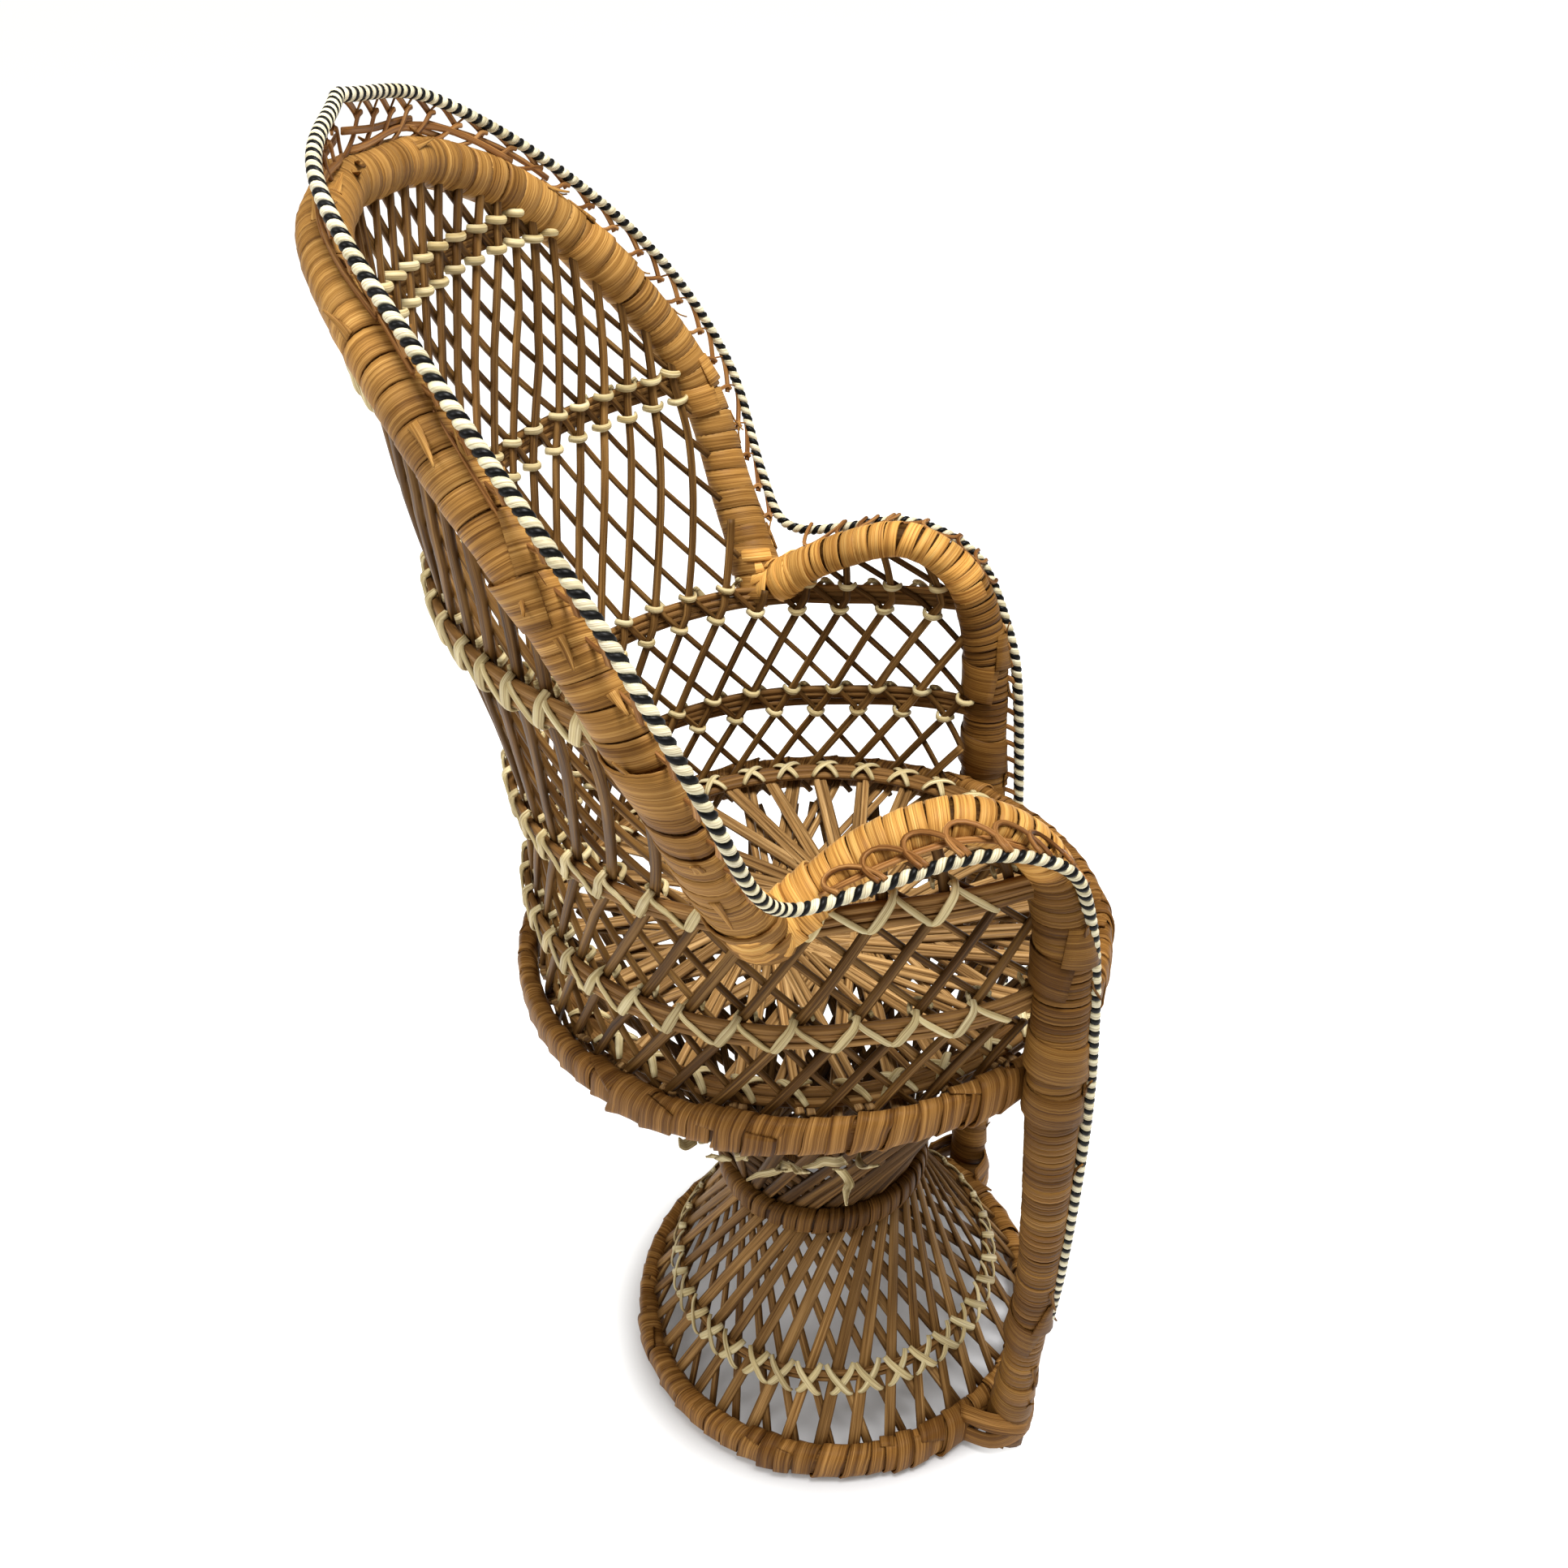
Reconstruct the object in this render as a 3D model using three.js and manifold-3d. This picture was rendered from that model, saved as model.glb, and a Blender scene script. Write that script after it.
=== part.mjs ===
// A doll-sized peacock chair of woven cane on an hourglass base.
// Millimetres, +Z up, the sitter faces -Y. Every hoop, rod, binding and panel is its own solid.
import * as THREE from 'three';
import { mergeVertices } from 'three/addons/utils/BufferGeometryUtils.js';
import Module from 'manifold-3d';

const wasm = await Module();
wasm.setup();

// ---------------------------------------------------------------- driving dimensions
const GAP = 0.35;                 // clearance kept between neighbouring solids
const CENTRE_Y = -7.5;            // moves the seat axis so that the origin is the middle of the footprint
const RING_STEPS = 28;            // facets round a full ring

// Bound rings: a round core rod inside a flat wrapped band.
const BASE_RING = { radius: 67.5, y: -2.5, z: 5.5, halfWide: 2.7, halfTall: 5.5, core: 1.7 };
const WAIST_RING = { radius: 32.7, y: 0, z: 81.7, halfWide: 2.4, halfTall: 4.5, core: 1.4 };
const SEAT_RING = { radius: 85, y: 0, z: 176, halfWide: 2.7, halfTall: 5.5, core: 1.7 };
const BAND_SLOT = 0.6;            // half height of the seam left open on a band's inner side

// Hoops lashed to the weave.
const BASE_HOOP = { radius: 53.4, y: -2, z: 31.8, cane: 1.4 };
const SEAT_HOOP = { radius: 76.3, y: 0, z: 181, cane: 1.5 };
const HOOP_CANE = 1.6;
const HOOP_STEPS = 38;
const HOOP_OFFSET = 3.5;          // a back hoop lies this far outside the weave's middle surface
const LASHING_CANE = 0.5;
const LASHING_OFFSET = HOOP_OFFSET + HOOP_CANE + GAP + 2 * LASHING_CANE;
const HOOP_LEVELS = { lower_hoop: 208, upper_hoop: 241, fan_hoop_low: 306, fan_hoop_high: 364 };
const ARM_HOOPS = ['lower_hoop', 'upper_hoop'];

// Frame rods with their cane binding.
const BIND_RADIUS = 5.6;
const BIND_BORE = 3.7;
const CORE_RADIUS = 3.3;
const BIND_SIDES = 8;
const CORE_SIDES = 6;
const PIPING_RADIUS = 1.75;
const TRIM_CANE = 0.6;

// Half outline of the frame (x >= 0) beside the striped piping that follows it.
const FAN = [
  { rod: [0, 97, 389], piping: [0, 92, 404] },
  { rod: [48, 88.5, 385], piping: [55, 84.5, 397] },
  { rod: [83, 70, 368], piping: [95, 60, 372] },
  { rod: [105, 46, 336], piping: [119, 35, 339] },
  { rod: [114, 29, 304], piping: [127, 18.5, 305] },
  { rod: [105, 20, 272], piping: [115, 10.5, 275] },
  { rod: [92, 13, 249], piping: [103.5, 4.5, 262.5] },
];
const ARM = [
  { rod: [86.5, 3.5, 250.5], piping: [99.5, -2, 260.5] },
  { rod: [81, -12, 260], piping: [96, -14, 262] },
  { rod: [77, -34, 265], piping: [91, -37, 266] },
  { rod: [74, -51, 254], piping: [84.5, -58, 256] },
  { rod: [72.5, -58.5, 232], piping: [76, -69.5, 234] },
  { rod: [72.5, -60, 176], piping: [69.5, -71.5, 176] },
  { rod: [67, -60.5, 104], piping: [64, -71.5, 104] },
  { rod: [62.5, -59.5, 66], piping: [60.5, -69, 76] },
];
const FOOT = [55.5, -55.2, 1.2];
const FAN_END = [89.5, 12, 243.5];

// The woven shell: half width and depth of its middle surface at each height.
const SHELL = [
  { z: 178, wide: 80.3, deep: 80.3 },
  { z: 208, wide: 80.5, deep: 78 },
  { z: 244, wide: 83, deep: 77 },
  { z: 272, wide: 98, deep: 80 },
  { z: 304, wide: 112, deep: 85 },
  { z: 337, wide: 116, deep: 89 },
  { z: 366, wide: 118, deep: 90.5 },
  { z: 392, wide: 120, deep: 92 },
];
const EDGE_TUCK = 3;              // the weave ends this far inside the frame's middle line
const ARM_LEVEL = 244;            // above this height the weave opens out into the fan
const FAN_SIDE = 74;              // degrees from the back: all fan up to here,
const ARM_SIDE = 88;              // and straight up to the arm from here on
const ELBOW_ANGLE = 84;           // the weave passes straight under the elbow here
const POST_FLARE = 7;             // the weave swells outward to meet the front posts
const FLARE_START = 95;           // degrees from the back where that swelling begins
const POST_ANGLE = 129.5;         // degrees from the back to a front post
const LEAN = 0.44;                // degrees a cane turns for each millimetre it climbs, at the back
const LEAN_SWING = 0.18;          // how much that changes towards the sides
const WEAVE_STRANDS = 12;         // canes of one direction, counted round a full turn
const WEAVE_CANE = 1.25;
const WEAVE_STEP = 14;            // climb between two points of a cane
const PANELS = 8;

// Straight canes of the hourglass and the seat.
const BASE_SPOKES = { count: 9, cane: 1.5, low: [63, 9], high: [30.3, 75.4], twist: 40 };
const UPPER_SPOKES = { count: 7, cane: 1.4, low: [27.4, 80], high: [75.5, 168], twist: 60 };
const SEAT_CANES = { count: 7, span: 160, radius: 73.6, z: 176.4, wide: 6, thick: 1.6 };

const CANE = { color: 0x9a6a35, roughness: 0.62, metalness: 0 };
const DARK_CANE = { color: 0x6b4423, roughness: 0.6, metalness: 0 };
const BINDING = { color: 0xb07a3c, roughness: 0.55, metalness: 0 };
const LASHING = { color: 0xd8c79a, roughness: 0.6, metalness: 0 };
const STRIPE = { color: 0x6a6252, roughness: 0.45, metalness: 0 };

// ---------------------------------------------------------------- small helpers
const model = new THREE.Group();
model.position.y = CENTRE_Y;
const radians = THREE.MathUtils.degToRad;
const vector = (p) => new THREE.Vector3(...p);
const mirrored = (p) => [-p[0], p[1], p[2]];

function addPart(name, geometry, look) {
  const mesh = new THREE.Mesh(geometry, new THREE.MeshStandardMaterial(look));
  mesh.name = name;
  model.add(mesh);
}

function toSolid(geometry) {
  const bare = geometry.clone();
  bare.deleteAttribute('normal');
  bare.deleteAttribute('uv');
  const merged = mergeVertices(bare, 1e-4);
  const vertProperties = new Float32Array(merged.attributes.position.array);
  const triVerts = new Uint32Array(merged.index.array);
  return new wasm.Manifold(new wasm.Mesh({ numProp: 3, vertProperties, triVerts }));
}

function toGeometry(solid) {
  const mesh = solid.getMesh();
  const geometry = new THREE.BufferGeometry();
  geometry.setAttribute('position', new THREE.BufferAttribute(new Float32Array(mesh.vertProperties), 3));
  geometry.setIndex(new THREE.BufferAttribute(new Uint32Array(mesh.triVerts), 1));
  geometry.computeVertexNormals();
  return geometry;
}

function joined(solids) {
  return wasm.Manifold.union(solids);
}

function largestBody(solid) {
  const bodies = solid.decompose();
  return bodies.reduce((best, body) => (body.volume() > best.volume() ? body : best));
}

function polygon(radius, sides) {
  const shape = new THREE.Shape();
  for (let i = 0; i < sides; i += 1) {
    const angle = (2 * Math.PI * (i + 0.5)) / sides;
    const x = radius * Math.cos(angle);
    const y = radius * Math.sin(angle);
    if (i === 0) shape.moveTo(x, y);
    else shape.lineTo(x, y);
  }
  shape.closePath();
  return shape;
}

function sweep(curve, section, steps) {
  return new THREE.ExtrudeGeometry(section, { steps, extrudePath: curve, bevelEnabled: false });
}

function rod(curve, radius, sides, steps) {
  return sweep(curve, polygon(radius, sides), steps);
}

function sleeve(curve, outer, bore, boreSides, steps) {
  const section = polygon(outer, BIND_SIDES);
  section.holes.push(polygon(bore, boreSides));
  return sweep(curve, section, steps);
}

function smoothCurve(points) {
  return new THREE.CatmullRomCurve3(points.map(vector), false, 'centripetal');
}

// ---------------------------------------------------------------- frame curves
const fanHalf = [...FAN.map((row) => row.rod), FAN_END];
const fanCurve = smoothCurve([...fanHalf.slice(1).reverse().map(mirrored), ...fanHalf]);
const armPoints = [...ARM.map((row) => row.rod), FOOT];
const armCurves = { left: smoothCurve(armPoints), right: smoothCurve(armPoints.map(mirrored)) };
const pipingHalf = [...FAN, ...ARM].map((row) => row.piping);
const pipingCurve = smoothCurve([...pipingHalf.slice(1).reverse().map(mirrored), ...pipingHalf]);
const FAN_STEPS = 32;
const ARM_STEPS = 22;

// Rods a little larger than life, to cut their neighbours back to a clear gap.
const frameCutters = [
  toSolid(rod(fanCurve, BIND_RADIUS + GAP, BIND_SIDES, FAN_STEPS)),
  toSolid(rod(armCurves.left, BIND_RADIUS + GAP, BIND_SIDES, ARM_STEPS)),
  toSolid(rod(armCurves.right, BIND_RADIUS + GAP, BIND_SIDES, ARM_STEPS)),
];

// The frame's height and distance from the seat axis at an angle measured from the back.
const edgeSamples = [];
for (const points of [fanHalf, armPoints]) {
  for (const p of smoothCurve(points).getPoints(160)) {
    const angle = THREE.MathUtils.radToDeg(Math.atan2(p.x, p.y));
    const last = edgeSamples.at(-1);
    if (p.z > SHELL[0].z && (!last || angle > last.angle)) {
      edgeSamples.push({ angle, z: p.z, radius: Math.hypot(p.x, p.y) });
    }
  }
}

function frameEdge(angle) {
  const a = Math.abs(angle);
  const after = edgeSamples.findIndex((sample) => sample.angle >= a);
  if (after === 0) return edgeSamples[0];
  if (after < 0) return edgeSamples.at(-1);
  const low = edgeSamples[after - 1];
  const high = edgeSamples[after];
  const t = (a - low.angle) / (high.angle - low.angle);
  return { z: low.z + t * (high.z - low.z), radius: low.radius + t * (high.radius - low.radius) };
}

// ---------------------------------------------------------------- woven shell surface
const shellCurve = smoothCurve(SHELL.map((row) => [row.wide, row.deep, row.z]));
const shellSamples = shellCurve.getPoints(240);

function shellSize(z) {
  const after = shellSamples.findIndex((p) => p.z >= z);
  if (after < 0) return shellSamples.at(-1);
  if (after === 0) return shellSamples[0];
  const low = shellSamples[after - 1];
  const high = shellSamples[after];
  return low.clone().lerp(high, (z - low.z) / (high.z - low.z));
}

function plainRadius(angle, z) {
  const underArm = THREE.MathUtils.smoothstep(Math.abs(angle), FAN_SIDE, ARM_SIDE);
  const size = shellSize(z - underArm * Math.max(0, z - ARM_LEVEL));
  const a = radians(Math.abs(angle));
  const oval = 1 / Math.hypot(Math.sin(a) / size.x, Math.cos(a) / size.y);
  const swell = THREE.MathUtils.smoothstep(Math.abs(angle), FLARE_START, POST_ANGLE);
  const rise = THREE.MathUtils.smoothstep(z, SHELL[0].z, SHELL[1].z);
  return oval + POST_FLARE * swell * rise;
}

function shellPoint(angle, z, outward = 0) {
  const edge = frameEdge(angle);
  const climb = THREE.MathUtils.clamp((z - SHELL[0].z) / (edge.z - SHELL[0].z), 0, 1);
  const clearOfElbow = THREE.MathUtils.smoothstep(Math.abs(Math.abs(angle) - ELBOW_ANGLE), 4, 10);
  const meet = Math.abs(angle) < POST_ANGLE - 1 ? clearOfElbow * climb ** 4 : 0;
  const radius = plainRadius(angle, z) + meet * (edge.radius - EDGE_TUCK - plainRadius(angle, edge.z)) + outward;
  return new THREE.Vector3(radius * Math.sin(radians(angle)), radius * Math.cos(radians(angle)), z);
}

function insideFrame(angle, z) {
  return Math.abs(angle) < POST_ANGLE && z < frameEdge(angle).z;
}

// ---------------------------------------------------------------- bound rings
function bandProfile({ radius, halfWide, halfTall, core }) {
  const corner = halfWide * 0.45;
  const bore = core + GAP;
  const offsets = [
    [-halfWide, BAND_SLOT], [-bore, BAND_SLOT], [0, bore], [bore, 0], [0, -bore], [-bore, -BAND_SLOT],
    [-halfWide, -BAND_SLOT], [-halfWide, -halfTall], [halfWide - corner, -halfTall],
    [halfWide, corner - halfTall], [halfWide, halfTall - corner], [halfWide - corner, halfTall],
    [-halfWide, halfTall],
  ];
  const points = offsets.map(([out, up]) => new THREE.Vector2(radius + out, up));
  return [...points, points[0].clone()];
}

function roundProfile(radius, cane, sides) {
  const points = [];
  for (let i = 0; i <= sides; i += 1) {
    const angle = (2 * Math.PI * (i % sides)) / sides;
    points.push(new THREE.Vector2(radius + cane * Math.cos(angle), cane * Math.sin(angle)));
  }
  return points;
}

function revolved(profile, ring) {
  const geometry = new THREE.LatheGeometry(profile, RING_STEPS);
  geometry.rotateX(Math.PI / 2);
  geometry.translate(0, ring.y, ring.z);
  return geometry;
}

function addBoundRing(name, ring) {
  addPart(`${name}_core`, revolved(roundProfile(ring.radius, ring.core, 4), ring), CANE);
  addPart(`${name}_binding`, revolved(bandProfile(ring), ring), BINDING);
}

// ---------------------------------------------------------------- frame rods
function addFrameRod(name, curve, steps) {
  addPart(`${name}_core`, rod(curve, CORE_RADIUS, CORE_SIDES, steps), CANE);
  addPart(`${name}_binding`, sleeve(curve, BIND_RADIUS, BIND_BORE, CORE_SIDES, steps), BINDING);
}

function collarCurve(curve, start, end) {
  return new THREE.LineCurve3(curve.getPointAt(start), curve.getPointAt(end));
}

// Overlapping wrap patches where hoops and feet are tied to the frame.
const COLLARS = [
  { name: 'elbow_wrap', on: 'fan', start: 0.966, end: 0.99 },
  { name: 'arm_wrap', on: 'arm', start: 0.215, end: 0.245 },
  { name: 'post_wrap', on: 'arm', start: 0.345, end: 0.375 },
  { name: 'foot_wrap', on: 'arm', start: 0.9, end: 0.935 },
];
const COLLAR_BORE = BIND_RADIUS + 1.2;
const COLLAR_OUTER = COLLAR_BORE + 0.9;
const collarCutters = [];

function addCollar(collar, side) {
  const flip = collar.on === 'fan' && side === 'right';
  const curve = collar.on === 'fan' ? fanCurve : armCurves[side];
  const start = flip ? 1 - collar.end : collar.start;
  const end = flip ? 1 - collar.start : collar.end;
  const line = collarCurve(curve, start, end);
  addPart(`${collar.name}_${side}`, sleeve(line, COLLAR_OUTER, COLLAR_BORE, BIND_SIDES, 1), BINDING);
  collarCutters.push(toSolid(rod(line, COLLAR_OUTER + GAP, BIND_SIDES, 1)));
}

// ---------------------------------------------------------------- woven shell
function strandCurve(seed, direction) {
  const points = [];
  let angle = seed;
  for (let z = SHELL[0].z; z < SHELL.at(-1).z; z += WEAVE_STEP) {
    if (insideFrame(angle, z)) points.push(shellPoint(angle, z));
    else if (points.length > 0) {
      points.push(shellPoint(angle, Math.min(z, frameEdge(angle).z)));
      break;
    }
    angle += WEAVE_STEP * (direction * LEAN - LEAN_SWING * Math.sin(radians(angle)));
  }
  return points.length > 2 ? new THREE.CatmullRomCurve3(points) : null;
}

function weaveSolid() {
  const strands = [];
  const pitch = 360 / WEAVE_STRANDS;
  for (const direction of [-1, 1]) {
    for (let i = -WEAVE_STRANDS; i <= WEAVE_STRANDS; i += 1) {
      const curve = strandCurve((i + 0.25) * pitch * direction, direction);
      if (curve) strands.push(toSolid(rod(curve, WEAVE_CANE, 4, Math.max(2, curve.points.length - 1))));
    }
  }
  let weave = joined(strands);
  for (const cutter of [...frameCutters, ...collarCutters]) weave = weave.subtract(cutter);
  return weave;
}

function wedge(fromAngle, toAngle) {
  const reach = 200;
  const shape = new THREE.Shape();
  shape.moveTo(0, 0);
  for (const angle of [fromAngle, (fromAngle + toAngle) / 2, toAngle]) {
    shape.lineTo(reach * Math.sin(radians(angle)), reach * Math.cos(radians(angle)));
  }
  shape.closePath();
  return toSolid(new THREE.ExtrudeGeometry(shape, { depth: 500, bevelEnabled: false }));
}

function addWeavePanels() {
  const weave = weaveSolid();
  const share = (2 * POST_ANGLE + 4) / PANELS;
  const slit = 0.25;
  for (let i = 0; i < PANELS; i += 1) {
    const from = -POST_ANGLE - 2 + i * share;
    const panel = largestBody(weave.intersect(wedge(from + slit / 2, from + share - slit / 2)));
    addPart(`weave_panel_${i + 1}`, toGeometry(panel), DARK_CANE);
  }
}

// ---------------------------------------------------------------- hoops round the back
function hoopSpan(name, inset) {
  if (ARM_HOOPS.includes(name)) return POST_ANGLE - inset;
  const z = HOOP_LEVELS[name];
  let angle = 0;
  while (frameEdge(angle).z > z) angle += 0.5;
  return angle - inset;
}

function hoopCurve(name, outward, inset, wave) {
  const z = HOOP_LEVELS[name];
  const span = hoopSpan(name, inset);
  const count = wave ? 2 * Math.round(span / wave.pitch) : HOOP_STEPS;
  const points = [];
  for (let i = 0; i <= count; i += 1) {
    const angle = -span + (2 * span * i) / count;
    const lift = wave ? wave.height * (i % 2 ? 1 : -1) : 0;
    points.push(shellPoint(angle, z, outward).add(new THREE.Vector3(0, 0, lift)));
  }
  return new THREE.CatmullRomCurve3(points);
}

function trimmed(geometry) {
  let solid = toSolid(geometry);
  for (const cutter of [...frameCutters, ...collarCutters]) solid = solid.subtract(cutter);
  return toGeometry(largestBody(solid));
}

function addBackHoops() {
  for (const name of Object.keys(HOOP_LEVELS)) {
    const wave = { pitch: 8.5, height: 2.6 };
    const hoop = rod(hoopCurve(name, HOOP_OFFSET, 0), HOOP_CANE, 4, HOOP_STEPS);
    addPart(name, trimmed(hoop), CANE);
    const lashing = hoopCurve(name, LASHING_OFFSET, 9, wave);
    const ties = rod(lashing, LASHING_CANE, 4, lashing.points.length - 1);
    addPart(`${name}_lashing`, trimmed(ties), LASHING);
  }
}

// ---------------------------------------------------------------- closed lashed hoops
function addLashedHoop(name, hoop, lashingRadius) {
  addPart(name, revolved(roundProfile(hoop.radius, hoop.cane, 4), hoop), CANE);
  const stitches = 15;
  const points = [];
  for (let i = 0; i < 2 * stitches; i += 1) {
    const angle = (Math.PI * i) / stitches;
    const z = hoop.z + (i % 2 ? 2.4 : -2.4);
    const y = hoop.y + lashingRadius * Math.cos(angle);
    points.push(new THREE.Vector3(lashingRadius * Math.sin(angle), y, z));
  }
  const curve = new THREE.CatmullRomCurve3(points);
  addPart(`${name}_lashing`, rod(curve, LASHING_CANE, 4, 2 * stitches - 1), LASHING);
}

// ---------------------------------------------------------------- straight canes
function addSpokes(name, spokes, lowY, highY) {
  const solids = [];
  for (const direction of [-1, 1]) {
    for (let i = 0; i < spokes.count; i += 1) {
      const start = (2 * Math.PI * (i + 0.25 * direction)) / spokes.count;
      const end = start + direction * radians(spokes.twist);
      const [lowRadius, lowZ] = spokes.low;
      const [highRadius, highZ] = spokes.high;
      const low = new THREE.Vector3(lowRadius * Math.sin(start), lowY + lowRadius * Math.cos(start), lowZ);
      const high = new THREE.Vector3(highRadius * Math.sin(end), highY + highRadius * Math.cos(end), highZ);
      solids.push(toSolid(rod(new THREE.LineCurve3(low, high), spokes.cane, 4, 1)));
    }
  }
  addPart(name, toGeometry(largestBody(joined(solids))), DARK_CANE);
}

function addSeatCanes() {
  const { count, span, radius, z, wide, thick } = SEAT_CANES;
  const length = 2 * radius * Math.sin(radians(span / 2));
  const offset = radius * Math.cos(radians(span / 2));
  const slats = [];
  for (let i = 0; i < count; i += 1) {
    const slat = new THREE.BoxGeometry(length, wide, thick);
    slat.translate(0, offset, z);
    slat.rotateZ((2 * Math.PI * i) / count);
    slats.push(toSolid(slat));
  }
  addPart('seat_canes', toGeometry(largestBody(joined(slats))), CANE);
}

// ---------------------------------------------------------------- edge trim
function trimCurve(rows, waves, deep, shallow, flipped) {
  const flip = flipped ? mirrored : (p) => p;
  const inner = smoothCurve(rows.map((row) => flip(row.rod)));
  const outer = smoothCurve(rows.map((row) => flip(row.piping)));
  const points = [];
  const count = 2 * waves;
  for (let i = 0; i <= count; i += 1) {
    const reach = i % 2 ? deep : shallow;
    points.push(inner.getPoint(i / count).lerp(outer.getPoint(i / count), reach));
  }
  return new THREE.CatmullRomCurve3(points);
}

function addEdgeTrim() {
  addPart('edge_piping', rod(pipingCurve, PIPING_RADIUS, 5, 76), STRIPE);
  const fanRows = [...FAN.slice(1).reverse().map((row) => ({
    rod: mirrored(row.rod),
    piping: mirrored(row.piping),
  })), ...FAN];
  const fanTrim = trimCurve(fanRows, 14, 0.74, 0.63, false);
  addPart('scroll_trim_fan', rod(fanTrim, TRIM_CANE, 4, 56), CANE);
  for (const side of ['left', 'right']) {
    const armTrim = trimCurve(ARM.slice(0, 6), 7, 0.75, 0.69, side === 'right');
    addPart(`scroll_trim_${side}`, rod(armTrim, TRIM_CANE, 4, 28), CANE);
  }
}

// ---------------------------------------------------------------- assembly
addBoundRing('base_ring', BASE_RING);
addBoundRing('waist_ring', WAIST_RING);
addBoundRing('seat_ring', SEAT_RING);
addLashedHoop('base_hoop', BASE_HOOP, BASE_HOOP.radius + BASE_HOOP.cane + GAP + LASHING_CANE);
addLashedHoop('seat_hoop', SEAT_HOOP, SEAT_HOOP.radius - SEAT_HOOP.cane - GAP - LASHING_CANE);
addSpokes('base_spokes', BASE_SPOKES, BASE_RING.y, WAIST_RING.y);
addSpokes('upper_spokes', UPPER_SPOKES, WAIST_RING.y, SEAT_RING.y);
addSeatCanes();
addFrameRod('fan_frame', fanCurve, FAN_STEPS);
for (const side of ['left', 'right']) {
  addFrameRod(`arm_frame_${side}`, armCurves[side], ARM_STEPS);
  for (const collar of COLLARS) addCollar(collar, side);
}
addWeavePanels();
addBackHoops();
addEdgeTrim();

export default model;
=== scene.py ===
"""Looks for a doll-sized peacock chair: bound cane frame, woven lattice, lashings and striped edge piping.

Lengths are in millimetres in the tables and functions below, and become metres when a mesh is made.
Angles round the chair are in degrees from the back, positive towards +X. The sitter faces -Y.
"""
import math

import bpy
import numpy as np
from mathutils import Matrix, Vector


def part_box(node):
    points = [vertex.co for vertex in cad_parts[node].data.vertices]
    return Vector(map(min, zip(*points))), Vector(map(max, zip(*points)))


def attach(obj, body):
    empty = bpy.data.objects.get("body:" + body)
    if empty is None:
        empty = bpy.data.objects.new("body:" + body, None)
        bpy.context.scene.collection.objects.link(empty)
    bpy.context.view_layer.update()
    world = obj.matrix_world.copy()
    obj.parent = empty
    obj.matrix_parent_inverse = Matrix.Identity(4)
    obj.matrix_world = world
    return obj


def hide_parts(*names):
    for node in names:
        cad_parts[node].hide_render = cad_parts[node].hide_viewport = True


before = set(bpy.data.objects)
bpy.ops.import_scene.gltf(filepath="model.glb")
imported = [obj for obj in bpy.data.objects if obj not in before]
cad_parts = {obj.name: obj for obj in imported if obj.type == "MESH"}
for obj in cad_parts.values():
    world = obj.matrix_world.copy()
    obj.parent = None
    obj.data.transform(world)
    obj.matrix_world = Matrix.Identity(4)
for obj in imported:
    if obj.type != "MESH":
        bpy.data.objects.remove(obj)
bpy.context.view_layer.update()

MM = 0.001
SEED = 20
SIDES = (-1, 1)
UP = np.array([0.0, 0.0, 1.0])
FLAT = np.array([1.0, 1.0, 0.0])


# --- places taken from the frame
def ring_of(node):
    """Centre, outer radius and half height of a ring-shaped CAD node, in millimetres."""
    low, high = (np.array(corner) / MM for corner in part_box(node))
    centre = (low + high) / 2
    return {"centre": centre, "outer": (high[0] - low[0]) / 2, "half_tall": (high[2] - low[2]) / 2}


SEAT = ring_of("seat_ring_binding")
WAIST = ring_of("waist_ring_binding")
BASE = ring_of("base_ring_binding")
# The base ring's binding is thicker than the CAD band, and the ring is lifted so that it clears the floor.
BASE["outer"] += 1.0
BASE["half_tall"] += 0.6
BASE["centre"] = BASE["centre"] + 2.0 * UP
BASE_HOOP = ring_of("base_hoop")
SEAT_HOOP = ring_of("seat_hoop")
SEAT_AXIS = np.array([0.0, SEAT["centre"][1], 0.0])
BAND_HALF_WIDE = 2.7

# --- frame outline, right half, seat axis at y = 0
FAN_ROD = [(0, 97, 389), (48, 88.5, 385), (83, 70, 368), (105, 46, 336), (114, 29, 304), (105, 20, 272),
           (92, 13, 249), (89.5, 12, 243.5)]
ARM_ROD = [(89, 9, 247), (86.5, 3.5, 250.5), (81, -12, 260), (77, -34, 265), (74, -51, 254),
           (72.5, -58.5, 232), (72.5, -60, 176), (67, -60.9, 104), (62.5, -60, 66), (55.5, -56.4, 1.4)]
FAN_PIPING = [(0, 94, 407), (55, 85.5, 398.5), (95, 60, 372), (119, 35, 339), (127, 18.5, 305),
              (115, 10.5, 275), (103.5, 4.5, 262.5)]
ARM_PIPING = [(99.5, -2, 260.5), (96, -14, 262), (91, -37, 265), (84.5, -56, 256), (76, -64.5, 234),
              (71.5, -69.2, 176), (68.5, -67.2, 104), (65, -65.6, 74)]
ELBOW_KNUCKLE = [(96, 14.5, 257), (91.5, 12.2, 247.5), (88.8, 9, 245.8), (87, 4.5, 249.2), (85.8, 1, 252)]
ROD_WIDE = 5.5
# Half size of each rod towards the piping, by fraction of its length.
FAN_ROD_TALL = [(0, 7.4), (0.12, 7.4), (0.3, 7.0), (0.42, 5.7), (0.58, 5.7), (0.7, 7.0), (0.88, 7.4),
                (1, 7.4)]
ARM_ROD_TALL = [(0, 6.0), (0.17, 6.0), (0.24, 7.3), (0.48, 7.4), (0.68, 6.0), (0.85, 5.7), (1, 6.2)]

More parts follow.
